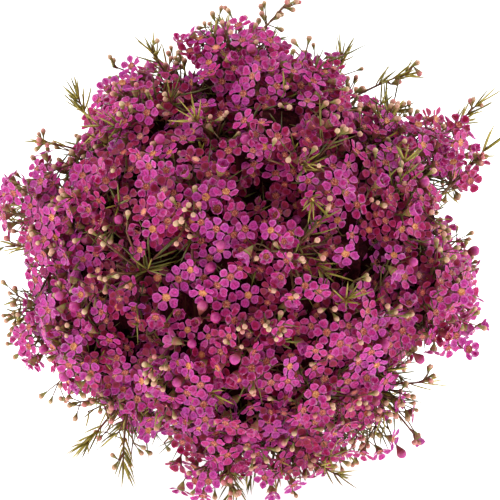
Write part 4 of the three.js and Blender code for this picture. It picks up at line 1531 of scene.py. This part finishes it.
def catmull_rom(points, steps):
    """A centripetal curve through the points, as even steps along its length."""
    points = np.array(points, float)
    points = np.vstack([2 * points[0] - points[1], points, 2 * points[-1] - points[-2]])
    dense = []
    for i in range(1, len(points) - 2):
        four = points[i - 1 : i + 3]
        gaps = np.linalg.norm(np.diff(four, axis=0), axis=1) ** 0.5
        knots = np.concatenate([[0], np.cumsum(gaps)])
        for t in np.linspace(knots[1], knots[2], 60, endpoint=False):
            lines = [between(t, *knots[k : k + 2], *four[k : k + 2]) for k in range(3)]
            bends = [between(t, knots[k], knots[k + 2], *lines[k : k + 2]) for k in range(2)]
            dense.append(between(t, *knots[1:3], *bends))
    dense.append(points[-2])
    return evenly_spaced(np.array(dense), steps)


def evenly_spaced(points, steps):
    lengths = np.concatenate([[0], np.cumsum(np.linalg.norm(np.diff(points, axis=0), axis=1))])
    wanted = np.linspace(0, lengths[-1], steps)
    return np.stack([np.interp(wanted, lengths, points[:, k]) for k in range(3)], axis=1)


def place_in_tie(index):
    """Where a stem stands in the tie, across the bunch's axis."""
    radius = STEM_PITCH * math.sqrt(index + 0.5)
    turn = index * GOLDEN_ANGLE
    return np.array([radius * math.cos(turn), radius * math.sin(turn)])


def stem_points(index):
    """The points that a stem passes from its cut end to its fork in the head."""
    draw = part_stream(SEED * 2000 + index)
    in_tie = place_in_tie(index)
    cut = in_tie * CUT_FLARE
    direction = stem_directions[index]
    fork = direction * head_semi_axes(direction, 0) * FORK_SHARE
    fork[2] -= FORK_DROP
    stagger = draw(-STEM_STAGGER, 0)
    return placed(
        [
            [*cut, -STEM_LENGTH - stagger],
            [*in_tie, -TIE_DISTANCE - TIE_WIDTH],
            [*in_tie, -TIE_DISTANCE + TIE_WIDTH],
            [*(0.45 * fork[:2] + 0.6 * in_tie), -SPREAD_DISTANCE],
            fork,
        ]
    )


def grow_stem(index):
    """A stem with its branches, the needles along them and its cut end."""
    name = f"stem_{index + 1:02d}"
    growth = Growth(name + "_bark")
    steps = 90
    path = catmull_rom(stem_points(index), steps)
    radii = np.linspace(CUT_RADIUS, FORK_RADIUS, steps)
    knots = np.abs(np.sin(np.arange(steps) * 0.55 + index)) ** 14
    radii = radii * (1 + 0.14 * knots) - 0.12
    growth.tubes(path[None], radii[None], 12, "bark", np.array([0.5]))
    carried = [spray for spray in sprays if nearest(spray.direction, stem_directions) == index]
    carried.sort(key=lambda spray: spray.direction[2])
    for k, spray in enumerate(carried):
        share = 0.84 + 0.15 * (k + 1) / len(carried)
        start = path[int(round(share * (steps - 1)))]
        end = spray.base + spray.axis * 1.5
        bend = end - spray.axis * 0.5 * np.linalg.norm(end - start)
        branch = bezier(start, bend, end, 16)
        thickness = stalk_radii(1, 16, 1.6, BRANCH_RADIUS)
        growth.tubes(branch, thickness, 9, "bark", np.array([0.5]))
        grow_branch_needles(growth, branch[0], 10)
        for place in branch[0][3:16:3]:
            away = unit(rng.normal(0, 1, 3) + CROWNWARD * 0.8)
            grow_inner_twig(growth, place, place + away * rng.uniform(20, 36), 13)
    grow_branch_needles(growth, path[int(0.52 * steps) : int(0.9 * steps)], 16)
    for place in path[int(0.6 * steps) : int(0.98 * steps) : 3]:
        away = unit(rng.normal(0, 1, 3) + CROWNWARD * 1.2)
        grow_inner_twig(growth, place, place + away * rng.uniform(16, 30), 14)
    cut_end(growth, path, radii[0])
    growth.piece(name, slot="bark")


def grow_branch_needles(growth, path, count):
    """Long needles at random places along a branch."""
    shares = rng.uniform(0.05, 0.95, count) * (len(path) - 1)
    low = shares.astype(int)
    part = (shares - low)[:, None]
    roots = path[low] * (1 - part) + path[low + 1] * part
    along = unit(path[low + 1] - path[low])
    lengths, tints = rng.uniform(*BRANCH_NEEDLES, count), rng.uniform(0.1, 0.7, count)
    grow_needles(growth, roots, along, lengths, tints)


def cut_end(growth, path, radius):
    """The pale cut face, slightly domed, over the bark's end."""
    shape = Shape()
    sides = 12
    rings = [
        ring_of(shape, radius * share, 0.25 * (1 - share), sides, share)
        for share in (1.0, 0.93, 0.6, 0.25)
    ]
    sunk = ring_of(shape, radius * 0.9, -0.6, sides, 1.0)
    tip = shape.point((0, 0, 0.25), 0.0)
    shape.face(sunk[::-1], "cut_wood")
    shape.band(sunk, rings[0], "cut_wood")
    for low, high in zip(rings, rings[1:]):
        shape.band(low, high, "cut_wood")
    shape.fan(rings[-1], tip, "cut_wood")
    outward = unit(path[0] - path[1])
    nothing = np.zeros(1)
    place = path[:1] + outward * 0.1
    growth.stamp(shape.arrays(), place, outward, nothing, np.ones(1), nothing, nothing)


def wind_tie():
    """The rubber band: three turns of a flat band wound side by side in one length."""
    growth = Growth("rubber_band")
    bundle_radius = np.linalg.norm(place_in_tie(STEM_COUNT - 1)) + CUT_RADIUS + TIE_SLACK
    thickness = 0.9
    steps = 260
    turns = np.linspace(0, TIE_TURNS * TURN, steps)
    pitch = TIE_WIDTH / TIE_TURNS
    radius = bundle_radius + 0.5 + thickness + 0.12 * np.sin(turns * 1.7)
    height = -TIE_DISTANCE + (turns / TURN - 0.5 * TIE_TURNS) * (TIE_WIDTH - pitch) / TIE_TURNS
    points = placed(np.stack([radius * np.cos(turns), radius * np.sin(turns), height], axis=1))
    growth.tubes(points[None], np.full((1, steps), pitch * 0.5), 10, "rubber", np.zeros(1), None, 0.62)
    growth.piece("tie", slot="rubber_band")


# ---- The bunch -----------------------------------------------------------------------------------

for spray_number in range(SPRAY_COUNT):
    grow_spray(spray_number)
for stem_number in range(STEM_COUNT):
    grow_stem(stem_number)
wind_tie()

# ---- Floor, lights and camera --------------------------------------------------------------------


def make_floor():
    """The pale floor, half of whose side is given in metres."""
    half = 9.0
    mesh = bpy.data.meshes.new("floor")
    corners = [(-half, -half, 0), (half, -half, 0), (half, half, 0), (-half, half, 0)]
    mesh.from_pydata(corners, [], [(0, 1, 2, 3)])
    mesh.materials.append(bpy.data.materials["floor"])
    floor = bpy.data.objects.new("floor", mesh)
    bpy.context.scene.collection.objects.link(floor)


def turn_towards(thing, direction):
    """Turns a camera or a lamp so that it looks along a direction."""
    thing.rotation_mode = "QUATERNION"
    thing.rotation_quaternion = Vector([float(v) for v in direction]).to_track_quat("-Z", "Y")


def add_softbox(name, offset, size, power):
    """A square lamp that stands off from the head's middle, in metres, and faces it."""
    light = bpy.data.lights.new(name, "AREA")
    light.shape = "SQUARE"
    light.size = size
    light.energy = power
    lamp = bpy.data.objects.new(name, light)
    bpy.context.scene.collection.objects.link(lamp)
    lamp.location = (placed([0, 0, 40]) + PLACE) * MM + np.array(offset)
    turn_towards(lamp, -np.array(offset))


CAMERA_DISTANCE = 1250
FIELD_WIDTH = 300
AIM_RIGHT = 2.4
AIM_UP = 2.4
SENSOR_WIDTH = 36


def make_camera():
    """Looks down the bunch's own axis at its crown, from above the floor."""
    camera = bpy.data.cameras.new("camera")
    camera.sensor_width = SENSOR_WIDTH
    camera.lens = SENSOR_WIDTH * CAMERA_DISTANCE / FIELD_WIDTH
    camera.clip_start, camera.clip_end = 0.05, 50
    rig = bpy.data.objects.new("camera", camera)
    bpy.context.scene.collection.objects.link(rig)
    rig.location = (placed([AIM_RIGHT, AIM_UP, CAMERA_DISTANCE]) + PLACE) * MM
    turn_towards(rig, -CROWNWARD)
    bpy.context.scene.camera = rig


def light_the_scene():
    add_softbox("key", (-1.3, -0.35, 1.1), 0.9, 12.5)
    add_softbox("side", (1.5, 0.1, 0.4), 1.0, 16)
    add_softbox("left", (-1.5, 0.3, 0.2), 1.0, 11)
    add_softbox("top", (0.2, 0.5, 1.6), 1.2, 18)
    add_softbox("front", (0.3, -1.7, 0.1), 1.2, 1.5)
    world = bpy.data.worlds.new("world")
    world.use_nodes = True
    background = world.node_tree.nodes["Background"]
    background.inputs["Color"].default_value = (1, 1, 1, 1)
    background.inputs["Strength"].default_value = 0.3
    bpy.context.scene.world = world
    bpy.context.scene.view_settings.view_transform = "Standard"


make_floor()
light_the_scene()
make_camera()
